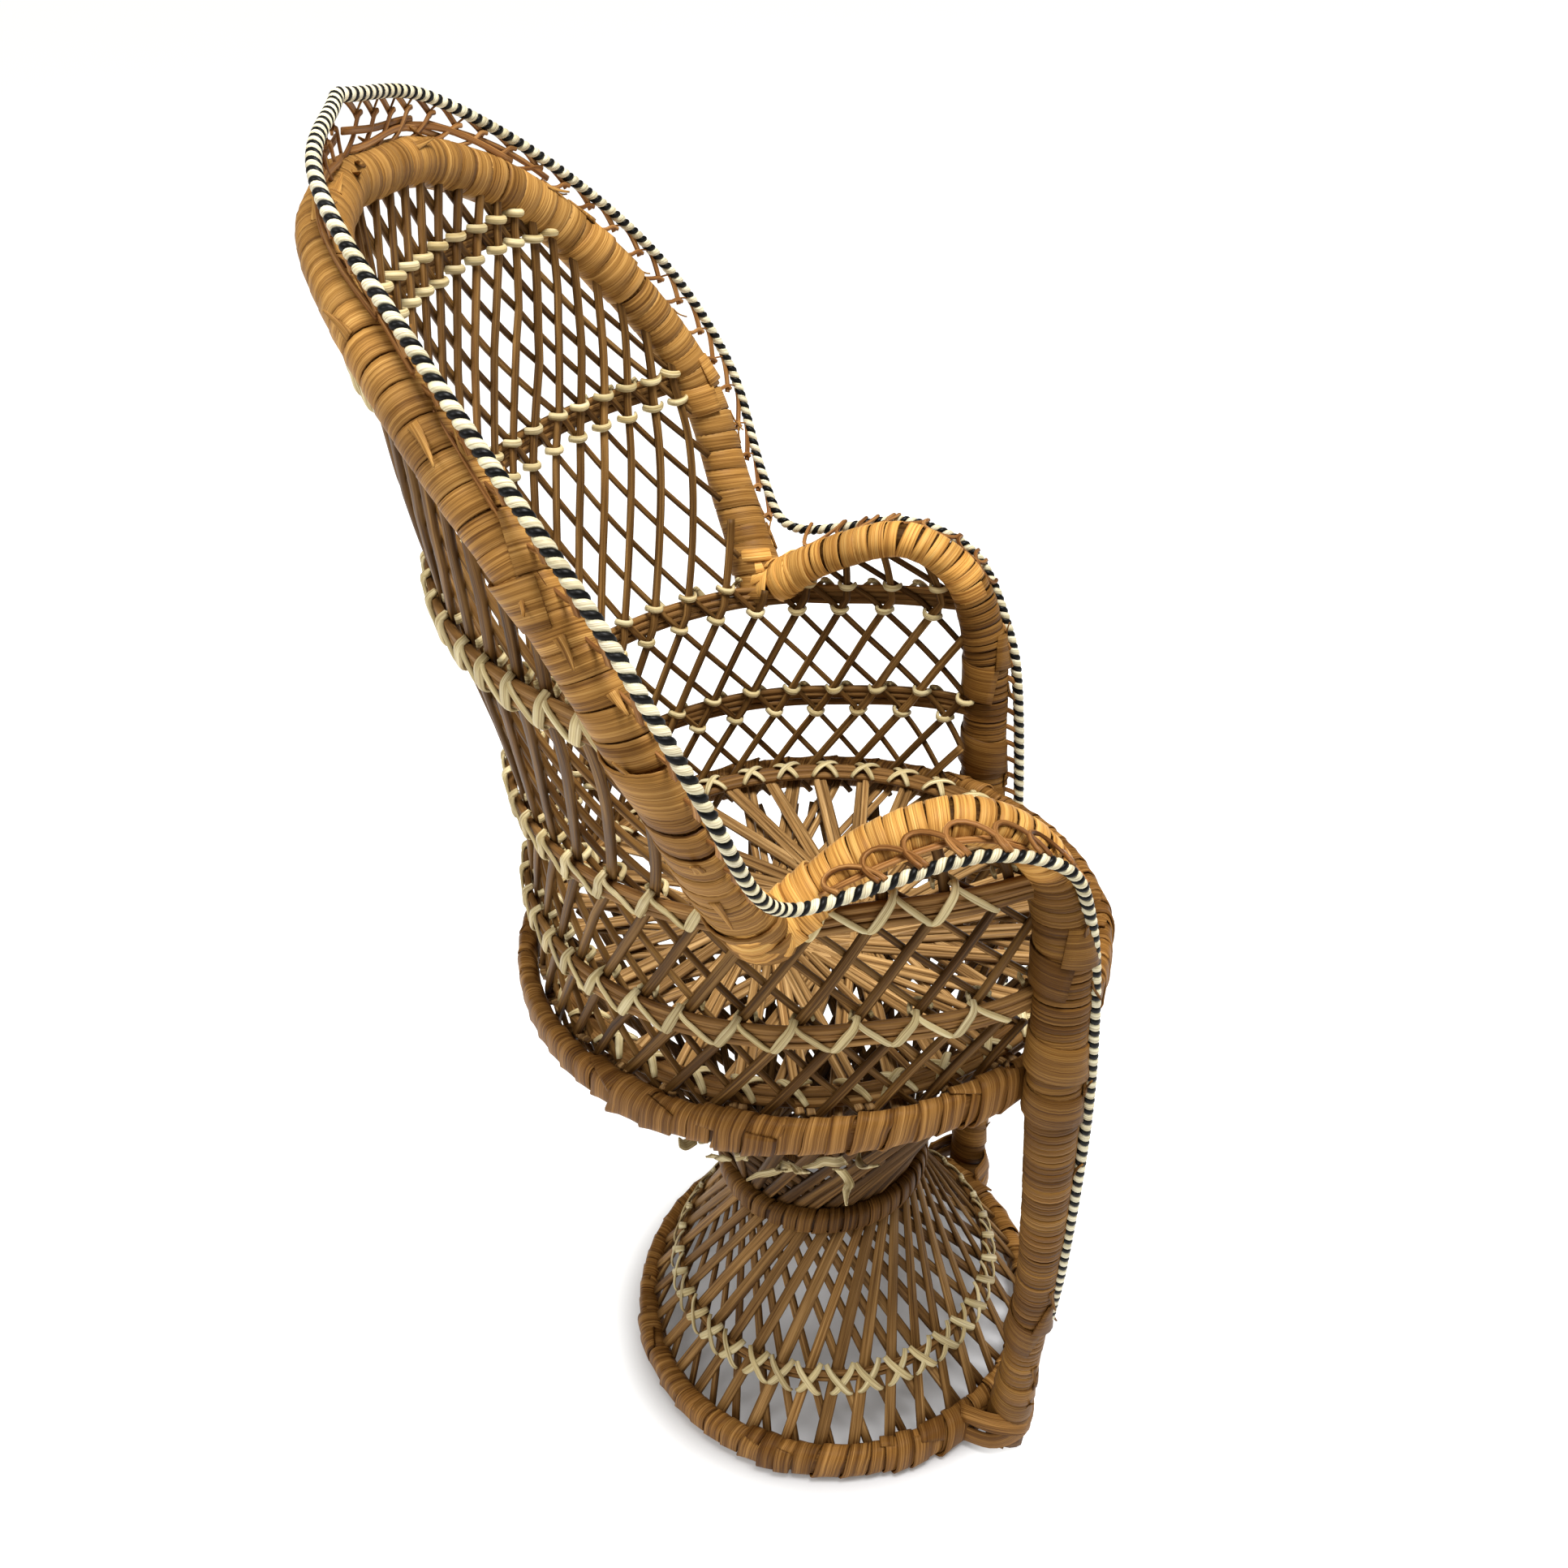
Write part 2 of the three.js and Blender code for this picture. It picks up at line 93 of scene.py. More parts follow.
# --- woven shell: half width and half depth by height, and where each row's crossings lie
SHELL_Z = [170, 178, 208, 244, 272, 304, 337, 366, 392]
SHELL_WIDE = [80.3, 80.3, 80.5, 83, 98, 112, 116, 118, 120]
SHELL_DEEP = [80.3, 80.3, 78, 77, 80, 85, 89, 90.5, 92]
SHELL_FOOT = 178
EDGE_TUCK = 1.5
ARM_LEVEL = 244
FAN_SIDE = 74
ARM_SIDE = 88
ELBOW_ANGLE = 84
POST_FLARE = 7
FLARE_START = 95
POST_ANGLE = 129.5
ROWS_ABOVE = [-4, 0.5, 4.5, 10.5, 17.5, 21.5]
ROW_HEIGHTS = [167, 207.7, 244.3, 308.4, 363.3, 395]
HOOP_ROWS = {"lower_hoop": 0, "upper_hoop": 4, "fan_hoop_low": 10, "fan_hoop_high": 17}
CANES_OUT = [0, 6.5, 8.5, 10.5, 12.5, 14.5, 18.5]
CANE_ANGLES = [(0, 49.5, 68.5, 87.8, 107.9, 127.8, 167), (0, 49.5, 68.5, 87.8, 107.9, 127.8, 167),
               (0, 48.5, 66, 84.3, 103.2, 124, 160), (0, 46.8, 58, 68, 76, 84, 98),
               (0, 39.5, 48, 55, 61, 66, 76), (0, 37.5, 46, 53, 59, 64, 74)]
CANE_THICK = 1.3
STITCH_REACH = 11.0


# --- curves
def smooth_curve(points, per_span=22):
    """A centripetal Catmull-Rom curve through the points."""
    p = np.array(points, float)
    p = np.vstack([2 * p[0] - p[1], p, 2 * p[-1] - p[-2]])
    t = np.linspace(0, 1, per_span, endpoint=False)[:, None]
    spans = []
    for p0, p1, p2, p3 in zip(p, p[1:], p[2:], p[3:]):
        d01, d12, d23 = (max(np.linalg.norm(b - a) ** 0.5, 1e-4) for a, b in ((p0, p1), (p1, p2), (p2, p3)))
        m1 = ((p1 - p0) / d01 - (p2 - p0) / (d01 + d12) + (p2 - p1) / d12) * d12
        m2 = ((p2 - p1) / d12 - (p3 - p1) / (d12 + d23) + (p3 - p2) / d23) * d12
        spans.append(p1 + m1 * t + (3 * (p2 - p1) - 2 * m1 - m2) * t**2 + (2 * (p1 - p2) + m1 + m2) * t**3)
    return np.vstack(spans + [p[-2:-1]])


def unit(v):
    return v / np.maximum(np.linalg.norm(v, axis=-1, keepdims=True), 1e-9)


def arc_lengths(points):
    return np.concatenate([[0], np.cumsum(np.linalg.norm(np.diff(points, axis=0), axis=1))])


def pick(points, s, at):
    return np.stack([np.interp(at, s, points[:, i]) for i in range(points.shape[1])], -1)


def resampled(points, step):
    s = arc_lengths(points)
    count = max(2, int(round(s[-1] / step)) + 1)
    return pick(points, s, np.linspace(0, s[-1], count))


def mirrored(points):
    return np.array(points, float) * np.array([-1, 1, 1])


HALVES = ((np.array, 1, "left"), (mirrored, -1, "right"))


class Path:
    """A line with an outward direction at each point, read by its length."""

    def __init__(self, points, outward):
        self.points = np.array(points, float)
        self.s = arc_lengths(self.points)
        self.total = self.s[-1]
        self.tangent = unit(np.gradient(self.points, axis=0))
        outward = np.broadcast_to(np.array(outward, float), self.points.shape)
        self.outward = unit(outward - (outward * self.tangent).sum(1, keepdims=True) * self.tangent)

    def at(self, s):
        tangent = unit(pick(self.tangent, self.s, s))
        outward = pick(self.outward, self.s, s)
        outward = unit(outward - (outward * tangent).sum(1, keepdims=True) * tangent)
        return pick(self.points, self.s, s), tangent, outward, np.cross(tangent, outward)


def circle(centre, radius, overlap=0.0):
    turn = np.linspace(0, 2 * math.pi * (1 + overlap), 240)
    around = np.stack([np.sin(turn), np.cos(turn), 0 * turn], -1)
    return Path(np.array(centre) + radius * around, around)


# --- mesh making
def flat_section(wide, thick, crown=0.0):
    """A split cane: flat underneath, slightly crowned on top, with rounded edges."""
    half = wide / 2
    lean = min(0.25 * wide, 0.7 * thick)
    return np.array([
        (-half, -0.1 * thick), (-half + 0.5 * lean, thick / 2), (-0.3 * half, thick / 2 + crown),
        (0.3 * half, thick / 2 + crown), (half - 0.5 * lean, thick / 2), (half, -0.1 * thick),
        (half - 0.4 * lean, -thick / 2), (-half + 0.4 * lean, -thick / 2)])


def round_section(radius):
    turn = -2 * math.pi * np.arange(8) / 8
    return radius * np.stack([np.cos(turn), np.sin(turn)], -1)


class Sweeps:
    """Collects swept canes and strips, then makes them one mesh object."""

    def __init__(self, name):
        self.name = name
        self.verts = []
        self.faces = []
        self.grain = []
        self.tint = []
        self.edge = []
        self.count = 0

    def sweep(self, points, normals, section, tint=0.5, widths=1.0, lean=0.0, rise=0.0):
        """Sweeps a section. widths scales it across, lean tips it like a shingle, rise lifts it."""
        points = np.array(points, float)
        n = len(points)
        m = len(section)
        tangent = unit(np.gradient(points, axis=0))
        normals = np.broadcast_to(np.array(normals, float), points.shape)
        up = unit(normals - (normals * tangent).sum(1, keepdims=True) * tangent)
        across = np.cross(tangent, up)
        x = section[:, 0][None, :] * np.broadcast_to(widths, n)[:, None]
        half = np.abs(section[:, 0]).max()
        y = section[:, 1][None, :] + lean * section[:, 0][None, :] / half
        y = y + np.broadcast_to(rise, n)[:, None]
        verts = points[:, None] + across[:, None] * x[..., None] + up[:, None] * y[..., None]
        along = np.broadcast_to(arc_lengths(points)[:, None], (n, m))
        tint = np.broadcast_to(np.broadcast_to(tint, n)[:, None], (n, m))
        self.verts.append(verts.reshape(-1, 3))
        seed = np.full((n, m), 7.31 * len(self.verts))
        self.grain.append(np.stack([along, x, seed], -1).reshape(-1, 3))
        self.tint.append(tint.reshape(-1))
        self.edge.append(np.broadcast_to(np.abs(section[:, 0]) / half, (n, m)).reshape(-1))
        row = np.arange(n - 1)[:, None] * m + self.count
        i = np.arange(m)[None, :]
        j = (i + 1) % m
        quads = np.stack([row + i, row + j, row + m + j, row + m + i], -1).reshape(-1, 4)
        self.faces.extend(quads.tolist())
        self.faces.append([self.count + k for k in reversed(range(m))])
        self.faces.append([self.count + (n - 1) * m + k for k in range(m)])
        self.count += n * m

    def build(self, material, replaces):
        mesh = bpy.data.meshes.new(self.name)
        mesh.from_pydata((np.vstack(self.verts) * MM).tolist(), [], self.faces)
        mesh.update()
        for name, kind, values in (("grain", "FLOAT_VECTOR", self.grain), ("tint", "FLOAT", self.tint),
                                   ("edge", "FLOAT", self.edge)):
            layer = mesh.attributes.new(name, kind, "POINT")
            data = np.concatenate(values).astype(np.float32).ravel()
            layer.data.foreach_set("vector" if kind == "FLOAT_VECTOR" else "value", data)
        mesh.polygons.foreach_set("use_smooth", [True] * len(mesh.polygons))
        mesh.materials.append(material)
        piece = bpy.data.objects.new(self.name, mesh)
        bpy.context.scene.collection.objects.link(piece)
        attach(piece, "root")
        if replaces:
            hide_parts(*replaces)
        return piece


def oval(phi, half_wide, half_tall, square=2.0):
    """A point and outward normal on a rounded outline; a larger square gives flatter sides."""
    c, s = np.cos(phi), np.sin(phi)
    power = 2.0 / square
    x = half_wide * np.sign(c) * np.abs(c) ** power
    y = half_tall * np.sign(s) * np.abs(s) ** power
    nx = np.sign(c) * np.abs(c) ** (2 - power) / half_wide
    ny = np.sign(s) * np.abs(s) ** (2 - power) / half_tall
    size = np.maximum(np.hypot(nx, ny), 1e-9)
    return x, y, nx / size, ny / size


def wrap(sweeps, path, half_wide, half_tall, strip, start, end, rng, square=2.0, thick=0.5, gap=0.25,
         per_turn=20, phase=0.0, uneven=0.18, lean=0.09, base_tint=0.5):
    """Winds one flat strip round a path from start to end. half_tall may be a function of length."""
    turns = max(1, int(round((end - start) / strip)))
    pitches = 1 + uneven * rng.uniform(-1, 1, turns + 1)
    marks = np.concatenate([[0], np.cumsum(pitches)])
    marks = start + (end - start) * marks / marks[turns]
    u = np.linspace(0, turns, turns * per_turn + 1)
    s = np.interp(u, np.arange(len(marks)), marks)
    centre, tangent, outward, side = path.at(s)
    tall = half_tall(s) if callable(half_tall) else half_tall
    x, y, nx, ny = oval(2 * math.pi * u + phase, half_wide, tall, square)
    points = centre + side * x[:, None] + outward * y[:, None]
    normals = side * nx[:, None] + outward * ny[:, None]
    knots = np.arange(turns + 2)
    tints = np.clip(base_tint + 0.2 * rng.standard_normal(turns + 2), 0.02, 0.98)
    widths = 1.05 - gap * rng.random(turns + 2) ** 5
    tint = np.interp(u, knots, tints)
    spans = np.diff(marks)[: turns + 1] / strip
    width = np.interp(u, knots, widths) * np.interp(u, knots[:-1] + 0.5, spans)
    jump = np.interp(u, knots, 0.25 * rng.random(turns + 2))
    sweeps.sweep(points, normals, flat_section(strip, thick, 0.05), tint, width, lean, jump)


def tube(sweeps, path, half_wide, half_tall, start, end, step, tint, square=2.0, sides=18):
    s = np.linspace(start, end, max(2, int((end - start) / step) + 1))
    centre, tangent, outward, side = path.at(s)
    tall = half_tall(s) if callable(half_tall) else np.full(len(s), half_tall)
    phi = -2 * math.pi * np.arange(sides) / sides
    x, y, _, _ = oval(phi, 1.0, half_wide, square)
    sweeps.sweep(centre, side, np.stack([x, y], -1), tint, tall)


# --- frame curves
def frame_line(points):
    return smooth_curve(points) + SEAT_AXIS


def whole(half):
    """Both halves of a line that starts at the middle of the back."""
    return np.vstack([mirrored(half[::-1]), half[1:]])


FAN_CURVE = whole(frame_line(FAN_ROD))
def bowed(points):
    """The piping of the +X leg stands a little further forward than the other one."""
    low = np.clip((262 - points[:, 2]) / 40, 0, 1) * (points[:, 0] > 0) * (points[:, 1] < SEAT_AXIS[1] - 30)
    return points - 3.0 * low[:, None] * np.array([0, 1, 0])


PIPING_HALF = frame_line(FAN_PIPING + ARM_PIPING)
PIPING_CURVE = bowed(whole(PIPING_HALF))
ARM_CURVE = frame_line(ARM_ROD)


def outward_from_piping(rod):
    """The direction from each point of a rod to the piping beside it."""
    nearest = []
    for point in rod:
        gaps = PIPING_CURVE - point
        distance = np.linalg.norm(gaps, axis=1)
        weight = np.exp(-((distance - distance.min()) / 3.0) ** 2)
        nearest.append((gaps * weight[:, None]).sum(0))
    return unit(np.array(nearest))


def side_paths():
    """The fan rod, and the two arm rods keyed by the sign of x."""
    fan = resampled(FAN_CURVE, 3)
    arm = resampled(ARM_CURVE, 3)
    arm_outward = outward_from_piping(arm)
    below = arm[:, 2] < 90
    arm_outward[below] = arm_outward[~below][-1]
    arms = {1: Path(arm, arm_outward), -1: Path(mirrored(arm), mirrored(arm_outward))}
    return Path(fan, outward_from_piping(fan)), arms


FAN_PATH, ARM_PATHS = side_paths()


# --- woven shell surface
def edge_table():
    rows = []
    for points in (FAN_ROD, ARM_ROD):
        for p in smooth_curve(points, 16):
            angle = math.degrees(math.atan2(p[0], p[1]))
            if p[2] > SHELL_FOOT and (not rows or angle > rows[-1][0]):
                rows.append((angle, p[2], math.hypot(p[0], p[1])))
    return np.array(rows)


EDGE = edge_table()


def smoothstep(x, low, high):
    t = np.clip((x - low) / (high - low), 0, 1)
    return t * t * (3 - 2 * t)


def edge_height(angle):
    return np.interp(np.abs(angle), EDGE[:, 0], EDGE[:, 1])


def plain_radius(angle, z):
    size = np.abs(angle)
    level = z - smoothstep(size, FAN_SIDE, ARM_SIDE) * np.maximum(0, z - ARM_LEVEL)
    wide = np.interp(level, SHELL_Z, SHELL_WIDE)
    deep = np.interp(level, SHELL_Z, SHELL_DEEP)
    a = np.radians(size)
    swell = smoothstep(size, FLARE_START, POST_ANGLE) * smoothstep(z, SHELL_FOOT, 208)
    return 1 / np.hypot(np.sin(a) / wide, np.cos(a) / deep) + POST_FLARE * swell


def shell(angle, z, outward=0.0):
    """Points on the woven surface, and the surface's outward direction there."""
    angle, z = np.broadcast_arrays(np.array(angle, float), np.array(z, float))
    top = edge_height(angle)
    rim = np.interp(np.abs(angle), EDGE[:, 0], EDGE[:, 2])
    climb = np.clip((z - SHELL_FOOT) / (top - SHELL_FOOT), 0, 1) ** 4
    clear = smoothstep(np.abs(np.abs(angle) - ELBOW_ANGLE), 4, 10)
    meet = np.where(np.abs(angle) < POST_ANGLE - 1, clear * climb, 0)
    radius = plain_radius(angle, z) + meet * (rim - EDGE_TUCK - plain_radius(angle, top)) + outward
    a = np.radians(angle)
    direction = np.stack([np.sin(a), np.cos(a), 0 * a], -1)
    return direction * radius[..., None] + z[..., None] * UP + SEAT_AXIS, direction


def cane_angle(out, row):
    """The angle of a crossing this many canes out from the middle of the back, at a row height."""
    size = np.abs(out)
    levels = np.array([np.interp(size, CANES_OUT, angles) for angles in CANE_ANGLES])
    place = np.interp(row, ROWS_ABOVE, np.arange(len(ROWS_ABOVE)))
    low = np.clip(np.floor(place).astype(int), 0, len(levels) - 2)
    mix = place - low
    which = np.arange(np.size(size))
    return np.sign(out) * ((1 - mix) * levels[low, which] + mix * levels[low + 1, which])


def row_height(row):
    return np.interp(row, ROWS_ABOVE, ROW_HEIGHTS)


# --- materials
def new_material(name):
    material = bpy.data.materials.new(name)
    material.use_nodes = True
    tree = material.node_tree
    tree.nodes.clear()
    output = tree.nodes.new("ShaderNodeOutputMaterial")
    shader = tree.nodes.new("ShaderNodeBsdfPrincipled")
    tree.links.new(shader.outputs[0], output.inputs[0])
    return material, tree, shader


def set_inputs(node, values):
    for name, value in values.items():
        node.inputs[name].default_value = value


def ramp(tree, source, stops):
    node = tree.nodes.new("ShaderNodeValToRGB")
    while len(node.color_ramp.elements) < len(stops):
        node.color_ramp.elements.new(0.5)
    for element, (position, colour) in zip(node.color_ramp.elements, stops):
        element.position = position
        element.color = (*colour, 1)
    tree.links.new(source, node.inputs[0])
    return node.outputs[0]


def mixed(tree, kind, factor, a, b):
    node = tree.nodes.new("ShaderNodeMix")
    node.data_type = "RGBA"
    node.blend_type = kind
    for socket, value in ((node.inputs[0], factor), (node.inputs[6], a), (node.inputs[7], b)):
        if isinstance(value, bpy.types.NodeSocket):
            tree.links.new(value, socket)
        elif isinstance(value, tuple):
            socket.default_value = (*value, 1)
        else:
            socket.default_value = value
    return node.outputs[2]


def math_node(tree, operation, a, b=0.0):
    node = tree.nodes.new("ShaderNodeMath")
    node.operation = operation
    for socket, value in zip(node.inputs, (a, b)):
        if isinstance(value, bpy.types.NodeSocket):
            tree.links.new(value, socket)
        else:
            socket.default_value = value
    return node.outputs[0]


def attribute(tree, name, output):
    node = tree.nodes.new("ShaderNodeAttribute")
    node.attribute_name = name
    return node.outputs[output]


def streak_noise(tree, along, across, detail, seed):
    """Noise drawn out along a cane; along and across are its cycles for each millimetre."""
    scale = tree.nodes.new("ShaderNodeVectorMath")
    scale.operation = "MULTIPLY_ADD"
    scale.inputs[1].default_value = (along, across, 1.0)
    scale.inputs[2].default_value = (seed, seed, seed)
    tree.links.new(attribute(tree, "grain", "Vector"), scale.inputs[0])
    noise = tree.nodes.new("ShaderNodeTexNoise")
    set_inputs(noise, {"Scale": 1.0, "Detail": detail, "Roughness": 0.6})
    tree.links.new(scale.outputs[0], noise.inputs["Vector"])
    return noise.outputs[0]


def place_noise(tree, scale):
    position = tree.nodes.new("ShaderNodeTexCoord")
    noise = tree.nodes.new("ShaderNodeTexNoise")
    set_inputs(noise, {"Scale": scale, "Detail": 3})
    tree.links.new(position.outputs["Object"], noise.inputs["Vector"])
    return noise.outputs[0]


TURN_TONES = [(0.0, (0.52, 0.47, 0.42)), (0.5, (0.9, 0.9, 0.9)), (1.0, (1.12, 1.1, 1.06))]
BLOTCH_TONES = [(0.35, (0.72, 0.66, 0.6)), (0.6, (1.05, 1.03, 1.0))]
GROOVE_TONES = [(0.38, (0.50, 0.42, 0.36)), (0.5, (1.0, 1.0, 1.0))]
# Colour mixed in at each strip's edges: painted shade where strips meet, with some dirt.
EDGE_SHADE_AND_DIRT = (0.42, 0.33, 0.26)


def cane_material(name, dark, mid, light, across, rough=0.5, edge_dark=0.4, bump=0.35, coat=0.0,
                  blotch=0.5):
    """Fibrous cane: fine streaks along it, tone that changes from strip to strip, and darker edges that are
    painted shade where strips meet, with some dirt.
    """
    material, tree, shader = new_material(name)
    fine = streak_noise(tree, 0.03, across, 4, 3.0)
    broad = streak_noise(tree, 0.012, across * 0.3, 2, 17.0)
    fine_part = math_node(tree, "MULTIPLY", fine, 0.62)
    level = math_node(tree, "ADD", fine_part, math_node(tree, "MULTIPLY", broad, 0.38))
    colour = ramp(tree, level, [(0.34, dark), (0.5, mid), (0.66, light)])
    tone = ramp(tree, attribute(tree, "tint", "Fac"), TURN_TONES)
    colour = mixed(tree, "MULTIPLY", 1.0, colour, tone)
    patches = ramp(tree, place_noise(tree, 28.0), BLOTCH_TONES)
    colour = mixed(tree, "MULTIPLY", blotch, colour, patches)
    # Darken the strip's edges: painted shade where strips meet, with some dirt.
    edge = math_node(tree, "POWER", attribute(tree, "edge", "Fac"), 10.0)
    colour = mixed(tree, "MULTIPLY", math_node(tree, "MULTIPLY", edge, edge_dark), colour, EDGE_SHADE_AND_DIRT)
    lines = streak_noise(tree, 0.015, across * 2.6, 2, 41.0)
    colour = mixed(tree, "MULTIPLY", 0.75, colour, ramp(tree, lines, GROOVE_TONES))
    tree.links.new(colour, shader.inputs["Base Color"])
    roughness = math_node(tree, "MULTIPLY_ADD", fine, 0.35)
    roughness.node.inputs[2].default_value = rough - 0.17
    tree.links.new(roughness, shader.inputs["Roughness"])
    set_inputs(shader, {"Specular IOR Level": 0.08, "Coat Weight": coat, "Coat Roughness": 0.3})
    relief = tree.nodes.new("ShaderNodeBump")
    set_inputs(relief, {"Strength": bump, "Distance": 0.0004})
    tree.links.new(fine, relief.inputs["Height"])
    tree.links.new(relief.outputs[0], shader.inputs["Normal"])
    return material


BINDING = cane_material("binding_fibre", (0.16, 0.068, 0.014), (0.39, 0.2, 0.05), (0.62, 0.36, 0.112), 1.9)
# A lighter copy of the binding for the arms and elbows: painted light, where the overhead light falls on the
# arm tops.
ARM_BINDING_PAINTED_LIGHT = cane_material("arm_binding_fibre_painted_light", (0.32, 0.135, 0.026), (0.72, 0.38, 0.095),
                            (0.9, 0.58, 0.19), 1.7)
# A darker copy of the binding for the posts: painted shade, as they stand in the arms' shadow.
POST_BINDING_PAINTED_SHADE = cane_material("post_binding_fibre_painted_shade", (0.08, 0.032, 0.006), (0.21, 0.098, 0.02),
                             (0.37, 0.2, 0.052), 2.2)
RING_BINDING = cane_material("ring_binding_fibre", (0.09, 0.035, 0.007), (0.26, 0.122, 0.028),
                             (0.5, 0.27, 0.082), 1.9)
WEAVE = cane_material("weave_cane", (0.05, 0.022, 0.006), (0.145, 0.072, 0.019), (0.32, 0.18, 0.058),
                      1.2, rough=0.45)
HOOP = cane_material("hoop_cane", (0.1, 0.046, 0.013), (0.26, 0.134, 0.041), (0.45, 0.26, 0.092), 1.4)
SPOKE = cane_material("spoke_cane", (0.11, 0.053, 0.015), (0.28, 0.152, 0.049), (0.48, 0.285, 0.108), 1.3)
# A darker copy of the spoke cane for the upper cone: painted shade under the seat.
UPPER_SPOKE_PAINTED_SHADE = cane_material("upper_spoke_cane_painted_shade", (0.03, 0.013, 0.004), (0.1, 0.05, 0.015), (0.24, 0.13, 0.043),
                          1.3)
# A darker copy of the ring binding for the waist ring: painted shade under the seat.
WAIST_BINDING_PAINTED_SHADE = cane_material("waist_binding_fibre_painted_shade", (0.06, 0.024, 0.004), (0.15, 0.069, 0.015),
                            (0.31, 0.16, 0.042), 1.9)
SEAT_CANE = cane_material("seat_cane", (0.09, 0.043, 0.013), (0.28, 0.158, 0.056), (0.56, 0.36, 0.158),
                          1.3, rough=0.45)
TIE = cane_material("tie_cane", (0.36, 0.27, 0.11), (0.62, 0.52, 0.28), (0.8, 0.72, 0.46),
                    1.2, rough=0.4, edge_dark=0.35, bump=0.2)
CURL = cane_material("curl_cane", (0.13, 0.052, 0.014), (0.33, 0.15, 0.045), (0.58, 0.32, 0.12),
                     1.4, rough=0.4)
CREAM = cane_material("cream_strand", (0.55, 0.49, 0.29), (0.8, 0.75, 0.53), (0.9, 0.86, 0.68),
                      1.6, rough=0.35, edge_dark=0.2, bump=0.15, coat=0.15, blotch=0.3)
BLACK = cane_material("black_strand", (0.003, 0.003, 0.003), (0.006, 0.006, 0.006), (0.016, 0.016, 0.016),
                      1.6, rough=0.4, edge_dark=0.0, bump=0.2, coat=0.05, blotch=0.2)


# --- bound frame rods
def rod_size(path, table, extra):
    places, sizes = zip(*table)
    return lambda s: np.interp(s / path.total, places, sizes) + extra


def wrapped_rod(name, path, replaces, rng, material, table, turns, patches=()):
    """turns lists (start, end, strip width, tone); patches are wider wraps on top of them."""
    sweeps = Sweeps(name)
    # A dark tube under the turns, at the lowest tint: painted shade that shows in the gaps between turns.
    tube(sweeps, path, ROD_WIDE - 0.8, rod_size(path, table, -0.8), 0.3, path.total - 0.3, 3.0, 0.03)
    for start, end, strip, tone in turns:
        wrap(sweeps, path, ROD_WIDE - 0.35, rod_size(path, table, -0.35), strip, start * path.total,
             end * path.total, rng, base_tint=tone)
    for start, end, strip, phase, tone in patches:
        wrap(sweeps, path, ROD_WIDE + 0.3, rod_size(path, table, 0.3), strip, start * path.total,
             end * path.total, rng, thick=0.6, phase=phase, lean=0.35, base_tint=tone)
    return sweeps.build(material, replaces)


def build_frame():
    rng = np.random.default_rng(SEED)
    slivers("fan_slivers", FAN_PATH, FAN_ROD_TALL, np.linspace(0.03, 0.97, 44), BINDING)
    # Patches are (start, end, strip width, phase, tone), with places as fractions of the rod's length.
    fan_patches = [(0.0, 0.035, 9, 0.4, 0.5), (0.965, 1.0, 9, 1.4, 0.5), (0.215, 0.238, 8, 2.0, 0.45),
                   (0.722, 0.760, 10, 1.0, 0.55), (0.130, 0.152, 9, 0.0, 0.5), (0.850, 0.868, 9, 0.0, 0.6)]
    nodes = ["fan_frame_binding", "elbow_wrap_left", "elbow_wrap_right"]
    wrapped_rod("fan_frame_wrap", FAN_PATH, nodes, rng, BINDING, FAN_ROD_TALL, [(0.0, 1.0, 6.6, 0.5)],
                fan_patches)
    arm_patches = [(0.0, 0.045, 8, 0.3, 0.55), (0.30, 0.335, 8, 0.2, 0.4), (0.395, 0.43, 10, 2.2, 0.35),
                   (0.445, 0.475, 10, 1.2, 0.35), (0.76, 0.80, 9, 0.4, 0.4), (0.88, 0.985, 8, 1.0, 0.45)]
    for _, side, word in HALVES:
        nodes = [f"{kind}_wrap_{word}" for kind in ("arm", "post", "foot")]
        wrapped_rod(f"arm_frame_wrap_{word}", ARM_PATHS[side], [f"arm_frame_{word}_binding"], rng,
                    ARM_BINDING_PAINTED_LIGHT, ARM_ROD_TALL, [(0.0, 0.235, 4.4, 0.6)], arm_patches[:1])
        slivers(f"post_slivers_{word}", ARM_PATHS[side], ARM_ROD_TALL, np.linspace(0.3, 0.93, 16),
                POST_BINDING_PAINTED_SHADE)
        wrapped_rod(f"post_wrap_{word}", ARM_PATHS[side], nodes, rng, POST_BINDING_PAINTED_SHADE, ARM_ROD_TALL,
                    [(0.225, 1.0, 2.5, 0.5)], arm_patches[1:])


def build_elbows():
    """Wide turns that close the sharp joint where each arm leaves the end of the fan."""
    rng = np.random.default_rng(SEED + 10)
    points = resampled(smooth_curve(ELBOW_KNUCKLE, 10) + SEAT_AXIS, 1.0)
    for flip, _, word in HALVES:
        line = flip(points)
        path = Path(line, unit(line * FLAT))
        sweeps = Sweeps(f"elbow_turns_{word}")
        wrap(sweeps, path, 6.0, 6.4, 4.6, 0, path.total, rng, thick=0.7, lean=0.35, base_tint=0.6)
        sweeps.build(ARM_BINDING_PAINTED_LIGHT, [])


